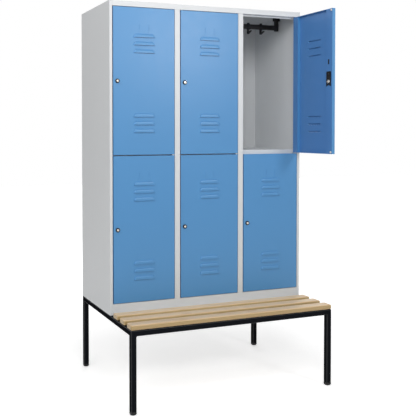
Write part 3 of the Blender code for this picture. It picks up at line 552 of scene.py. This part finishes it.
def softened(node, edge, slot, *finishes):
    """A finer copy of one CAD node: its triangles merged into faces, its sharp edges rounded by edge.

    The faces have the first finish and the rounded edges the last. Where the rounding folds a face over, the
    triangles stay unmerged, and where that folds too, the edges stay sharp.
    """
    piece = added(node + "_fine", NODES[node].data.copy())
    piece.data.materials.clear()
    for finish in finishes:
        piece.data.materials.append(finish)
    for flat, miter in ((True, "MITER_ARC"), (False, "MITER_SHARP"), (True, None)):
        form = bmesh.new()
        form.from_mesh(NODES[node].data)
        bmesh.ops.remove_doubles(form, verts=form.verts[:], dist=MERGED)
        if flat:
            bmesh.ops.dissolve_limit(
                form, angle_limit=math.radians(FLAT_WITHIN), verts=form.verts[:], edges=form.edges[:],
                use_dissolve_boundaries=False,
            )
        form.to_mesh(piece.data)
        form.free()
        if miter:
            rounded(piece, edge, 2, ROUNDED_FROM, miter_outer=miter, material=len(finishes) - 1)
        if folded_over(piece.data) < FOLD_LIMIT:
            break
    return seated(piece, BODY_OF[node], [node])


def fitted(piece, place, material, body, nodes=(), angle=SMOOTH_UP_TO):
    """Puts a finished piece in its place with its finish, and seats it."""
    piece.data.transform(place)
    piece.data.materials.clear()
    piece.data.materials.append(material)
    return seated(piece, body, nodes, angle)


def shifted(piece, x=0.0, y=0.0, z=0.0):
    """The piece with its mesh moved, its origin left where it is."""
    piece.data.transform(Matrix.Translation((x, y, z)))
    return piece


def trimmed(piece, other, operation):
    """The piece after a Boolean with the other, which is removed."""
    trim = piece.modifiers.new("trim", "BOOLEAN")
    trim.operation, trim.solver, trim.object = operation, "EXACT", other
    finished(piece)
    bpy.data.objects.remove(other)
    return piece


def merged(pieces, name):
    """One piece that holds the meshes of several."""
    form = bmesh.new()
    for piece in pieces:
        form.from_mesh(piece.data)
        bpy.data.objects.remove(piece)
    return added(name, mesh_of(name, form))


def arc(centre, radius, start, end, steps=10):
    """Points of an arc between two angles in degrees."""
    angles = [math.radians(start + (end - start) * step / steps) for step in range(steps + 1)]
    return [(centre[0] + radius * math.cos(a), centre[1] + radius * math.sin(a)) for a in angles]


def low_edge(radius, height, edge):
    """Profile points of a rounded edge at (radius, height), where the profile turns upwards."""
    return arc((radius - edge, height + edge), edge, -90, 0, 5)


def high_edge(radius, height, edge):
    """The same where the profile turns inwards."""
    return arc((radius - edge, height - edge), edge, 0, 90, 5)


def lathed(name, profile, axis=(0, 1, 0), sides=48, ring=False):
    """A closed form turned about an axis through the origin, from (radius, height) along its profile."""
    form = bmesh.new()
    along, across = Vector(axis), Vector((1, 0, 0))
    points = [form.verts.new(across * radius + along * height) for radius, height in profile]
    edges = [form.edges.new(pair) for pair in zip(points, points[1:] + (points[:1] if ring else []))]
    bmesh.ops.spin(
        form, geom=points + edges, axis=along, cent=(0, 0, 0), angle=math.tau, steps=sides, use_merge=True
    )
    bmesh.ops.remove_doubles(form, verts=form.verts[:], dist=MERGED)
    return new_piece(name, form)


def cut_out(name, outlines, thick, edge, steps=3):
    """A flat closed form in the XZ plane, thick along Y, with rounded edges.

    Outlines after the first are holes.
    """
    form = bmesh.new()
    for outline in outlines:
        ring = [form.verts.new((x, -thick / 2, z)) for x, z in outline]
        for pair in zip(ring, ring[1:] + ring[:1]):
            form.edges.new(pair)
    bmesh.ops.triangle_fill(form, use_beauty=True, use_dissolve=len(outlines) == 1, edges=form.edges[:])
    made = bmesh.ops.extrude_face_region(form, geom=form.faces[:], use_keep_orig=True)["geom"]
    moved = [item for item in made if isinstance(item, bmesh.types.BMVert)]
    bmesh.ops.translate(form, verts=moved, vec=(0, thick, 0))
    return rounded(new_piece(name, form), edge, steps, 50)


def bar(name, size, edge, steps=5, low=(0, 0, 0)):
    """A square-cut bar with rounded edges, whose lowest corner is at low."""
    form = bmesh.new()
    bmesh.ops.create_cube(form, size=1)
    bmesh.ops.translate(form, verts=form.verts[:], vec=(0.5, 0.5, 0.5))
    bmesh.ops.scale(form, verts=form.verts[:], vec=size)
    return shifted(rounded(new_piece(name, form), edge, steps), *low)


def door_place(door):
    """The matrix from a door's own frame to where it stands at rest."""
    out = JOINTS["lock_turn_" + door]["axis"]
    turn = Matrix.Rotation(math.atan2(out[0], -out[1]), 4, "Z")
    return Matrix.Translation(JOINTS["hinge_" + door]["pos_m"]) @ turn


def lock_place(door):
    """The same for a lock about its own axis."""
    turn = door_place(door).to_3x3().to_4x4()
    return Matrix.Translation(JOINTS["lock_turn_" + door]["pos_m"]) @ turn


# Geometry Nodes trees


class Tree(Nodes):
    """A new Geometry Nodes tree with named inputs."""

    def __init__(self, name, inputs):
        super().__init__(bpy.data.node_groups.new(name, "GeometryNodeTree"))
        face = self.tree.interface
        face.new_socket("Geometry", in_out="OUTPUT", socket_type="NodeSocketGeometry")
        face.new_socket("Geometry", in_out="INPUT", socket_type="NodeSocketGeometry")
        for label, kind in inputs:
            face.new_socket(label, in_out="INPUT", socket_type="NodeSocket" + kind)
        self.inputs = self.tree.nodes.new("NodeGroupInput").outputs
        self.end = self.tree.nodes.new("NodeGroupOutput").inputs

    def close(self, instances):
        """Ends the tree in Realize Instances and Set Material."""
        real = self.add("GeometryNodeRealizeInstances", {0: instances}).outputs[0]
        coat = self.add("GeometryNodeSetMaterial", {"Geometry": real, "Material": self.inputs["Material"]})
        self.tree.links.new(coat.outputs[0], self.end[0])
        return self.tree


def rows_tree():
    """Copies of a form at equal steps along a row, and rows at equal steps from each other."""
    name = "equal_steps"
    if name in bpy.data.node_groups:
        return bpy.data.node_groups[name]
    tree = Tree(name, (
        ("Form", "Object"), ("Count", "Int"), ("First", "Vector"), ("Step", "Vector"),
        ("Rows", "Int"), ("Row step", "Vector"), ("Material", "Material"),
    ))
    of = tree.inputs
    row = tree.add(
        "GeometryNodeMeshLine", {"Count": of["Count"], "Start Location": of["First"], "Offset": of["Step"]},
        mode="OFFSET",
    )
    rows = tree.add("GeometryNodeMeshLine", {"Count": of["Rows"], "Offset": of["Row step"]}, mode="OFFSET")
    places = tree.add("GeometryNodeInstanceOnPoints", {"Points": rows.outputs[0], "Instance": row.outputs[0]})
    points = tree.add("GeometryNodeRealizeInstances", {0: places.outputs[0]})
    form = tree.add("GeometryNodeObjectInfo", {"Object": of["Form"]})
    copies = tree.add(
        "GeometryNodeInstanceOnPoints", {"Points": points.outputs[0], "Instance": form.outputs["Geometry"]}
    )
    return tree.close(copies.outputs[0])


def weld_tree():
    """Overlapping drops of weld along the mesh edges that it is given, each a little different."""
    tree = Tree("weld_bead", (
        ("Pitch", "Float"), ("Radius", "Float"), ("Uneven", "Float"), ("Flat", "Float"), ("Seed", "Int"),
        ("Material", "Material"),
    ))
    of = tree.inputs
    path = tree.add("GeometryNodeMeshToCurve", {"Mesh": of["Geometry"]})
    points = tree.add(
        "GeometryNodeCurveToPoints", {"Curve": path.outputs[0], "Length": of["Pitch"]}, mode="LENGTH"
    )
    drop = tree.add("GeometryNodeMeshIcoSphere", {"Radius": of["Radius"], "Subdivisions": 3})
    low = tree.add("ShaderNodeMath", {0: 1.0, 1: of["Uneven"]}, operation="SUBTRACT")
    high = tree.add("ShaderNodeMath", {0: 1.0, 1: of["Uneven"]}, operation="ADD")
    size = tree.add(
        "FunctionNodeRandomValue", {2: low.outputs[0], 3: high.outputs[0], "Seed": of["Seed"]},
        data_type="FLOAT",
    )
    squeezed = tree.add("ShaderNodeCombineXYZ", {0: size.outputs[1], 1: size.outputs[1], 2: of["Flat"]})
    drops = tree.add(
        "GeometryNodeInstanceOnPoints",
        {"Points": points.outputs[0], "Instance": drop.outputs[0], "Rotation": points.outputs["Rotation"],
         "Scale": squeezed.outputs[0]},
    )
    return tree.close(drops.outputs[0])


def grown(piece, tree, **values):
    """Runs a Geometry Nodes tree on the piece and keeps what it makes as the piece's own mesh."""
    growth = piece.modifiers.new(tree.name, "NODES")
    growth.node_group = tree
    for item in tree.interface.items_tree:
        label = item.name.replace(" ", "_").lower()
        if item.in_out == "INPUT" and label in values:
            growth[item.identifier] = values[label]
    return finished(piece)


def set_out(name, form, material, count=1, first=(0, 0, 0), step=(0, 0, 0), rows=1, row_step=(0, 0, 0)):
    """A piece that is one or several copies of the form."""
    return grown(
        new_piece(name, bmesh.new()), rows_tree(), form=form, count=count, first=first, step=step, rows=rows,
        row_step=row_step, material=material,
    )


def nodes_named(start):
    return sorted(name for name in NODES if name.startswith(start))


# One operator for each piece or group of like pieces


class LOCKER_OT_body(bpy.types.Operator):
    """Finish the side panels, partitions, roof, floor, back, shelves and pivot blocks."""

    bl_idname = "locker.body"
    bl_label = "Body"

    def execute(self, context):
        scene = context.scene
        edge = scene.locker_body_look.edge
        for start in ("side_panel", "partition", "roof_panel", "floor_panel", "back_panel", "shelf"):
            for node in nodes_named(start):
                softened(node, edge, "body_grey", coat_of(scene, "body"), edge_of(scene, "body"))
        for node in nodes_named("pivot_block"):
            softened(node, edge, "zinc", plain_finish("zinc_plate"))
        return {"FINISHED"}


def hook_form():
    """A moulded hook about its rail's axis, X across it and -Y towards its tip."""
    wide, clear, wall, sag = 0.013, 0.0007, 0.0040, 0.0004
    lift, half = 0.0075, 0.0075  # from the rail's axis to the centres of its round ends, and half its width

    def oval(grow):
        top = arc((0, lift - sag), half + grow, 0, 180, 24)
        return top + arc((0, -lift - sag), half + grow, 180, 360, 24)

    ring = cut_out("ring", [oval(clear + wall), oval(clear)], wide, 0.0009)
    front, rear, stem_top, deep = -0.001, 0.007, -0.0185, 0.045
    bend, inner_bend = 0.007, 0.0035
    tip, tip_radius = (-0.0328, -0.0288), 0.0024
    outline = arc((rear - bend, bend - deep), bend, 270, 360)
    outline += [(rear, stem_top), (front, stem_top)]
    outline += arc((front - inner_bend, rear - front + inner_bend - deep), inner_bend, 0, -70, 8)
    outline += arc(tip, tip_radius, 75, 230)
    arm = cut_out("arm", [outline], wide - 0.0004, 0.0016, 4)
    bump = bar("bump", (0.007, wide, 0.007), 0.0012, 4, (-0.0035, -wide / 2, 0.0157))
    hook = merged([ring, arm, bump], "hook_form")
    hook.data.transform(Matrix.Rotation(math.pi / 2, 4, "Z"))
    return hook


class LOCKER_OT_coat_rails(bpy.types.Operator):
    """Finish the coat rails and their hooks."""

    bl_idname = "locker.coat_rails"
    bl_label = "Coat rails and hooks"

    def execute(self, context):
        black = plain_finish("black_moulding")
        for node in nodes_named("coat_rail"):
            softened(node, RAIL_EDGE, "black_plastic", black)
        low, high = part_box("coat_rail_upper_right")
        form = hook_form()
        for node in nodes_named("hook"):
            left, right = (end.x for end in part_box(node))
            middle = ((left + right) / 2, (low.y + high.y) / 2, low.z + RAIL_UP)
            hook = set_out(node + "_fine", form, black, first=middle)
            fitted(hook, Matrix(), black, BODY_OF[node], [node], 35.0)
        bpy.data.objects.remove(form)
        return {"FINISHED"}


def louvre_hood(width=0.122, rise=0.0186, out=0.0061, flare=0.0009, wall=0.0006, square=0.62, drop=0.0001):
    """The hood of a pressed louvre: half a stadium whose mouth looks down, with steep sides and a flat crown.

    flare is the soft foot round it, and drop how far it hangs below its place. square is the power that the
    section's sine and cosine are raised to, 1 for a plain quarter ellipse.
    """
    straight = width / 2 - rise
    section = [(rise + flare, 0.0003), (rise + flare * 0.4, -0.0001)]
    steps, first = 18, 0.04  # the share of the quarter turn that the foot takes up
    for step in range(1, steps):
        angle = (first + (1 - first) * step / steps) * math.pi / 2
        section.append((rise * math.cos(angle) ** square, -out * math.sin(angle) ** square))
    section.append((0.0, -out))
    around, along = 12, 8  # steps round each end, and along the straight between them
    quarter = [90 * step / around for step in range(around + 1)]
    spine = [(straight, math.radians(turn)) for turn in quarter]
    spine += [(straight - 2 * straight * step / along, math.pi / 2) for step in range(1, along)]
    spine += [(-straight, math.radians(90 + turn)) for turn in quarter]
    form = bmesh.new()
    strips = [
        [form.verts.new((x + far * math.cos(turn), y, far * math.sin(turn))) for far, y in section]
        for x, turn in spine
    ]
    for strip, other in zip(strips, strips[1:]):
        for step in range(len(section) - 1):
            form.faces.new((strip[step], strip[step + 1], other[step + 1], other[step]))
    bmesh.ops.remove_doubles(form, verts=form.verts[:], dist=MERGED)
    bmesh.ops.dissolve_degenerate(form, edges=form.edges[:], dist=MERGED)
    piece = new_piece("louvre_form", form)
    if piece.data.polygons[0].normal.y > 0:
        piece.data.flip_normals()
    sheet = piece.modifiers.new("sheet", "SOLIDIFY")
    sheet.thickness, sheet.offset = wall, -1
    return shifted(finished(piece), z=-drop)


def slot_shade_block(name):
    """The black block at the back of the slot above the lock, in its door's own frame: painted shade for the dark
    inside of the slot.
    """
    wide, _, high = SLOT_SHADE_BLOCK
    low = (DOOR_FREE_X + SLOT_IN - wide / 2, DOOR_BACK_Y - SHADE_BLOCK_SUNK, DOOR_HEIGHT / 2 + SLOT_UP - high / 2)
    return bar(name, SLOT_SHADE_BLOCK, 0.0005, 3, low)


def lowered_lips(pan, place):
    """Presses the label lips down to a share of their height, with the soft shoulders of a drawn lip."""
    back = place.inverted()
    for vert in pan.data.vertices:
        spot = back @ vert.co
        if spot.y < DOOR_FACE_Y - LIP_ROOT and LIPS_LOW < spot.z < LIPS_HIGH:
            spot.y = DOOR_FACE_Y + (spot.y - DOOR_FACE_Y) * LIP_SHARE
            vert.co = place @ spot


class LOCKER_OT_doors(bpy.types.Operator):
    """Finish the doors with their louvres, their label lips and the black blocks at the back of their slots, which
    paint the shade in them.
    """

    bl_idname = "locker.doors"
    bl_label = "Doors"

    def execute(self, context):
        scene = context.scene
        coat, hood = coat_of(scene, "door"), louvre_hood()
        for door in DOORS:
            place, body = door_place(door), "door_body_" + door
            pan = softened(
                "door_" + door, scene.locker_door_look.edge, "door_blue", coat, edge_of(scene, "door")
            )
            lowered_lips(pan, place)
            louvres = set_out(
                "louvres_" + door, hood, coat, 3, (DOOR_MIDDLE_X, DOOR_FACE_Y, LOUVRES_LOW),
                (0, 0, LOUVRE_PITCH), 2, (0, 0, LOUVRES_HIGH - LOUVRES_LOW),
            )
            fitted(louvres, place, coat, body)
            # Painted shade: a black block at the back of the slot
            shade_block = slot_shade_block("slot_liner_" + door)
            fitted(shade_block, place, plain_finish("lock_moulding"), body)
        bpy.data.objects.remove(hood)
        return {"FINISHED"}


def lock_collar():
    """The dark collar on the face, the barrel through the door, and the swallow-tailed plate behind it."""
    rim, barrel, front, seat, lip = 0.0115, 0.0089, -0.0118, -0.0058, 0.0004
    profile = [(LOCK_BORE, front + lip), (LOCK_BORE + lip, front), *low_edge(rim, front, 0.0014)]
    profile += [(rim, seat), (barrel, seat), (barrel, LOCK_PLATE_Y), (LOCK_BORE, LOCK_PLATE_Y)]
    collar = lathed("collar", profile, sides=64, ring=True)
    left, right, rise, drop, notch, corner = -0.014, 0.024, 0.055, -0.026, 0.009, 0.004
    outline = [(left, drop), ((left + right) / 2, drop + notch), (right, drop)]
    outline += arc((right - corner, rise - corner), corner, 0, 90)
    outline += arc((left + corner, rise - corner), corner, 90, 180)
    bore = arc((0, 0), LOCK_BORE, 0, 360, 48)[:-1]
    plate = shifted(cut_out("plate", [outline, bore], 0.0022, 0.0004), y=LOCK_PLATE_Y)
    ribs = [bar("rib", (0.0012, 0.0006, 0.034), 0.00025, 2, (x, 0.0156, 0.0155)) for x in (-0.0107, 0.0195)]
    return merged([collar, plate, *ribs], "lock_form")


def lock_plug():
    """The nickel plug with its keyway in front, and the dished nut that holds the arm behind."""
    radius, front = 0.00615, -0.013
    nut, back = 0.0105, 0.0246
    spindle, dish = back - 0.0012, back - 0.0032
    profile = [(0, front + 0.0002), (0.0035, front), *low_edge(radius, front, 0.0009), (radius, LOCK_ARM_Y)]
    profile += [(nut, LOCK_ARM_Y), *high_edge(nut, back, 0.0016)]
    profile += [(0.0052, back), (0.0044, back - 0.0008), (0.0042, dish), (0.0031, dish)]
    profile += [(0.0029, spindle - 0.0002), (0.0026, spindle), (0, spindle)]
    plug = lathed("plug", profile, sides=64)
    keyway = bar("keyway", (0.0014, 0.004, 0.007), 0.0003, 2, (-0.0007, front - 0.0015, -0.0035))
    return trimmed(plug, keyway, "DIFFERENCE")


def lock_arm():
    """The flat arm that turns with the plug, its tip up."""
    half, reach, tip = 0.010, 0.038, 0.004
    outline = arc((0, 0), half, 180, 360, 24)
    outline += arc((half - tip, reach - tip), tip, 0, 90)
    outline += arc((tip - half, reach - tip), tip, 90, 180)
    return shifted(cut_out("arm", [outline], 0.003, 0.0005), y=LOCK_ARM_Y)


def buffer_form():
    """A round buffer on the inside of a door."""
    radius, low = 0.0055, DOOR_BACK_Y + SEAT_GAP
    high = low + 0.0029
    profile = [(0, low), (radius, low), *high_edge(radius, high, 0.0009), (0, high)]
    return lathed("buffer_form", profile, sides=40)


class LOCKER_OT_locks(bpy.types.Operator):
    """Finish the lock bodies, cams and buffers."""

    bl_idname = "locker.locks"
    bl_label = "Locks and buffers"

    def execute(self, context):
        black, nickel = plain_finish("lock_moulding"), plain_finish("nickel_plate")
        rubber = plain_finish("buffer_rubber")
        collar, plug, arm, stop = lock_collar(), lock_plug(), lock_arm(), buffer_form()
        for door in DOORS:
            door_body, cam_body = "door_body_" + door, "cam_body_" + door
            for start, form, material, body, slot, nodes in (
                ("lock_", collar, black, door_body, "black_plastic", ["lock_body_" + door]),
                ("plug_", plug, nickel, cam_body, "nickel", ["lock_cam_" + door]),
                ("arm_", arm, black, cam_body, "black_plastic", []),
            ):
                piece = set_out(start + door, form, material)
                fitted(piece, lock_place(door), material, body, nodes, 35.0)
            stops = set_out(
                "buffers_" + door, stop, rubber, 2, (DOOR_FREE_X + BUFFER_IN, 0, BUFFER_LOW),
                (0, 0, BUFFER_HIGH - BUFFER_LOW),
            )
            nodes = [f"buffer_{door}_{end}" for end in ("top", "bottom")]
            fitted(stops, door_place(door), rubber, door_body, nodes, 35.0)
        for form in (collar, plug, arm, stop):
            bpy.data.objects.remove(form)
        return {"FINISHED"}


def foot_form():
    """A square cap with a domed sole and a spigot up into the tube, its sole at the origin."""
    height, reach, base, rim, steps = 0.016, 0.0212, 0.008, 0.0015, 14
    profile = [(0, 0)]
    for step in range(steps + 1):
        angle = step / steps * math.pi / 2
        profile.append((base + (reach - base) * math.sin(angle), (height - rim) * (1 - math.cos(angle))))
    past = height + 0.002
    profile += [(reach, past), (0, past)]
    dome = lathed("dome", profile, axis=(0, 0, 1), sides=96)
    tall, spigot_side = 0.04, 0.0252
    square = bar("square", (TUBE, TUBE, tall), 0.003, 5, (-TUBE / 2, -TUBE / 2, height - tall))
    cap = trimmed(dome, square, "INTERSECT")
    spigot = bar(
        "spigot", (spigot_side, spigot_side, 0.024), 0.001, 2, (-spigot_side / 2, -spigot_side / 2, 0.0098)
    )
    return merged([cap, spigot], "foot_form")


def weld_paths():
    """Short lines in the corners where each leg meets the top frame."""
    outer, inner = 0.004, 0.002  # left free at the tube's outer and inner edge
    low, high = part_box("stand")
    form = bmesh.new()
    for x, into_x in ((low.x, 1), (high.x, -1)):
        for y, into_y in ((low.y, 1), (high.y, -1)):
            inner_x, inner_y = x + into_x * TUBE, y + into_y * TUBE
            lines = (
                ((inner_x, y + into_y * outer), (inner_x, inner_y - into_y * inner)),
                ((x + into_x * outer, inner_y), (inner_x - into_x * inner, inner_y)),
            )
            for ends in lines:
                form.edges.new([form.verts.new((*end, high.z - TUBE)) for end in ends])
    return new_piece("welds", form)


class LOCKER_OT_stand(bpy.types.Operator):
    """Finish the stand, its welds and its foot caps."""

    bl_idname = "locker.stand"
    bl_label = "Stand"

    def execute(self, context):
        scene = context.scene
        coat = coat_of(scene, "stand")
        softened("stand", scene.locker_stand_look.edge, "anthracite", coat, edge_of(scene, "stand"))
        welds = grown(
            weld_paths(), weld_tree(), pitch=0.0026, radius=0.0032, uneven=0.12, flat=0.6, seed=7,
            material=coat,
        )
        fitted(welds, Matrix(), coat, "locker_body", angle=60.0)
        form, black = foot_form(), plain_finish("black_moulding")
        first, last = (
            (low + high) / 2 for low, high in (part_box("foot_cap_front_left"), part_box("foot_cap_back_right"))
        )
        caps = set_out(
            "foot_caps", form, black, 2, (first.x, first.y, CAD_LOW.z), (0, last.y - first.y, 0),
            2, (last.x - first.x, 0, 0),
        )
        fitted(caps, Matrix(), black, "locker_body", nodes_named("foot_cap"), 40.0)
        bpy.data.objects.remove(form)
        return {"FINISHED"}


class LOCKER_OT_seat(bpy.types.Operator):
    """Finish the slats."""

    bl_idname = "locker.seat"
    bl_label = "Seat"

    def execute(self, context):
        wood, nodes = seat_wood(context.scene), nodes_named("slat")
        (low, high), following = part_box(nodes[0]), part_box(nodes[1])[0]
        form = bar("slat_form", high - low, SLAT_EDGE, 7)
        slats = set_out("slats", form, wood, len(nodes), low, (0, following.y - low.y, 0))
        fitted(slats, Matrix(), wood, "locker_body", nodes)
        bpy.data.objects.remove(form)
        return {"FINISHED"}


def seen_rays(nodes):
    """1 for what looks at the studio itself: the camera's rays and those that metal and glass send on."""
    path = nodes.add("ShaderNodeLightPath").outputs
    seen = path["Is Camera Ray"]
    for name in ("Is Glossy Ray", "Is Transmission Ray"):
        seen = nodes.add("ShaderNodeMath", {0: seen, 1: path[name]}, operation="MAXIMUM").outputs[0]
    return seen


def make_floor():
    """A pale floor that glows for the camera, so that it keeps no shade but the object's shadow."""
    form = bmesh.new()
    bmesh.ops.create_grid(form, x_segments=1, y_segments=1, size=FLOOR_REACH)
    bmesh.ops.translate(form, verts=form.verts[:], vec=(0, 0, CAD_LOW.z - FLOOR_GAP))
    floor = added("floor", mesh_of("floor", form))
    paper = Shader("pale_floor")
    far = paper.add("ShaderNodeVectorMath", {0: paper.place}, operation="LENGTH").outputs["Value"]
    glow = paper.between(far, *FLOOR_GLOW, GLOW_SPAN)
    lit = paper.add("ShaderNodeMath", {0: seen_rays(paper), 1: glow}, operation="MULTIPLY").outputs[0]
    paper.set(
        Base_Color=(0.90, 0.90, 0.90, 1), Roughness=0.9, Specular_IOR_Level=0.1, Emission_Color=WHITE,
        Emission_Strength=lit,
    )
    floor.data.materials.append(paper.material)


def make_world(strength):
    """White wherever the camera, metal and glass look, and an even light of the given strength elsewhere."""
    world = bpy.data.worlds.new("studio")
    bpy.context.scene.world = world
    world.use_nodes = True
    world.node_tree.nodes.clear()
    studio = Nodes(world.node_tree)
    room, paper = (
        studio.add("ShaderNodeBackground", {"Color": WHITE, "Strength": power}).outputs[0]
        for power in (strength, 1.0)
    )
    light = studio.add("ShaderNodeMixShader", {0: seen_rays(studio), 1: room, 2: paper}).outputs[0]
    studio.add("ShaderNodeOutputWorld", {0: light})


def add_lamp(name, power, place, target, size):
    """A square soft light at its place, turned to the target."""
    light = bpy.data.lights.new(name, "AREA")
    light.shape, light.size, light.energy = "SQUARE", size, power
    lamp = added(name, light)
    lamp.location = place
    lamp.rotation_euler = (Vector(target) - Vector(place)).to_track_quat("-Z", "Y").to_euler()


def make_camera(look):
    """The photograph's view: focal length and optical centre in its pixels."""
    data = bpy.data.cameras.new("photo_view")
    data.sensor_width = 36
    data.lens = look.focal_px / PHOTO_SIDE * data.sensor_width
    data.shift_x = (PHOTO_SIDE / 2 - look.centre_px[0]) / PHOTO_SIDE
    data.shift_y = (look.centre_px[1] - PHOTO_SIDE / 2) / PHOTO_SIDE
    data.clip_end = 100
    camera = added("photo_view", data)
    camera.matrix_world = (
        Matrix.Translation(look.eye)
        @ Matrix.Rotation(-look.turn, 4, "Z")
        @ Matrix.Rotation(math.pi / 2 - look.dip, 4, "X")
        @ Matrix.Rotation(look.roll, 4, "Z")
    )
    bpy.context.scene.camera = camera


class LOCKER_OT_stage(bpy.types.Operator):
    """Make the floor, the lamps, the world and the camera."""

    bl_idname = "locker.stage"
    bl_label = "Stage"

    def execute(self, context):
        look = context.scene.locker_stage_look
        make_floor()
        make_world(look.sky)
        for name, power, place, target, size in LAMPS:
            add_lamp(name, power * look.lamps, place, target, size)
        make_camera(look)
        context.scene.view_settings.view_transform = "Standard"
        return {"FINISHED"}


# What belongs together in the panel: the name of some settings, their class and the operators that read them
GROUPS = (
    ("locker_body_look", LockerBodySettings, (LOCKER_OT_body, LOCKER_OT_coat_rails)),
    ("locker_door_look", LockerDoorSettings, (LOCKER_OT_doors, LOCKER_OT_locks)),
    ("locker_stand_look", LockerStandSettings, (LOCKER_OT_stand,)),
    ("locker_seat_look", LockerSeatSettings, (LOCKER_OT_seat,)),
    ("locker_stage_look", LockerStageSettings, (LOCKER_OT_stage,)),
)
OPERATORS = tuple(operator for _, _, operators in GROUPS for operator in operators)


class LOCKER_PT_panel(bpy.types.Panel):
    """Lists the pieces' operators and settings."""

    bl_idname = "LOCKER_PT_panel"
    bl_label = "Locker with bench"
    bl_space_type = "VIEW_3D"
    bl_region_type = "UI"
    bl_category = "Locker"

    def draw(self, context):
        for group, settings, operators in GROUPS:
            box = self.layout.box()
            for operator in operators:
                box.operator(operator.bl_idname)
            for name in settings.__annotations__:
                box.prop(getattr(context.scene, group), name)


def register():
    for group, settings, operators in GROUPS:
        for cls in (settings, *operators):
            bpy.utils.register_class(cls)
        setattr(bpy.types.Scene, group, bpy.props.PointerProperty(type=settings))
    bpy.utils.register_class(LOCKER_PT_panel)


def unregister():
    bpy.utils.unregister_class(LOCKER_PT_panel)
    for group, settings, operators in reversed(GROUPS):
        delattr(bpy.types.Scene, group)
        for cls in (*reversed(operators), settings):
            bpy.utils.unregister_class(cls)


def main():
    register()
    for operator in OPERATORS:
        group, name = operator.bl_idname.split(".")
        getattr(getattr(bpy.ops, group), name)()


if __name__ == "__main__":
    main()
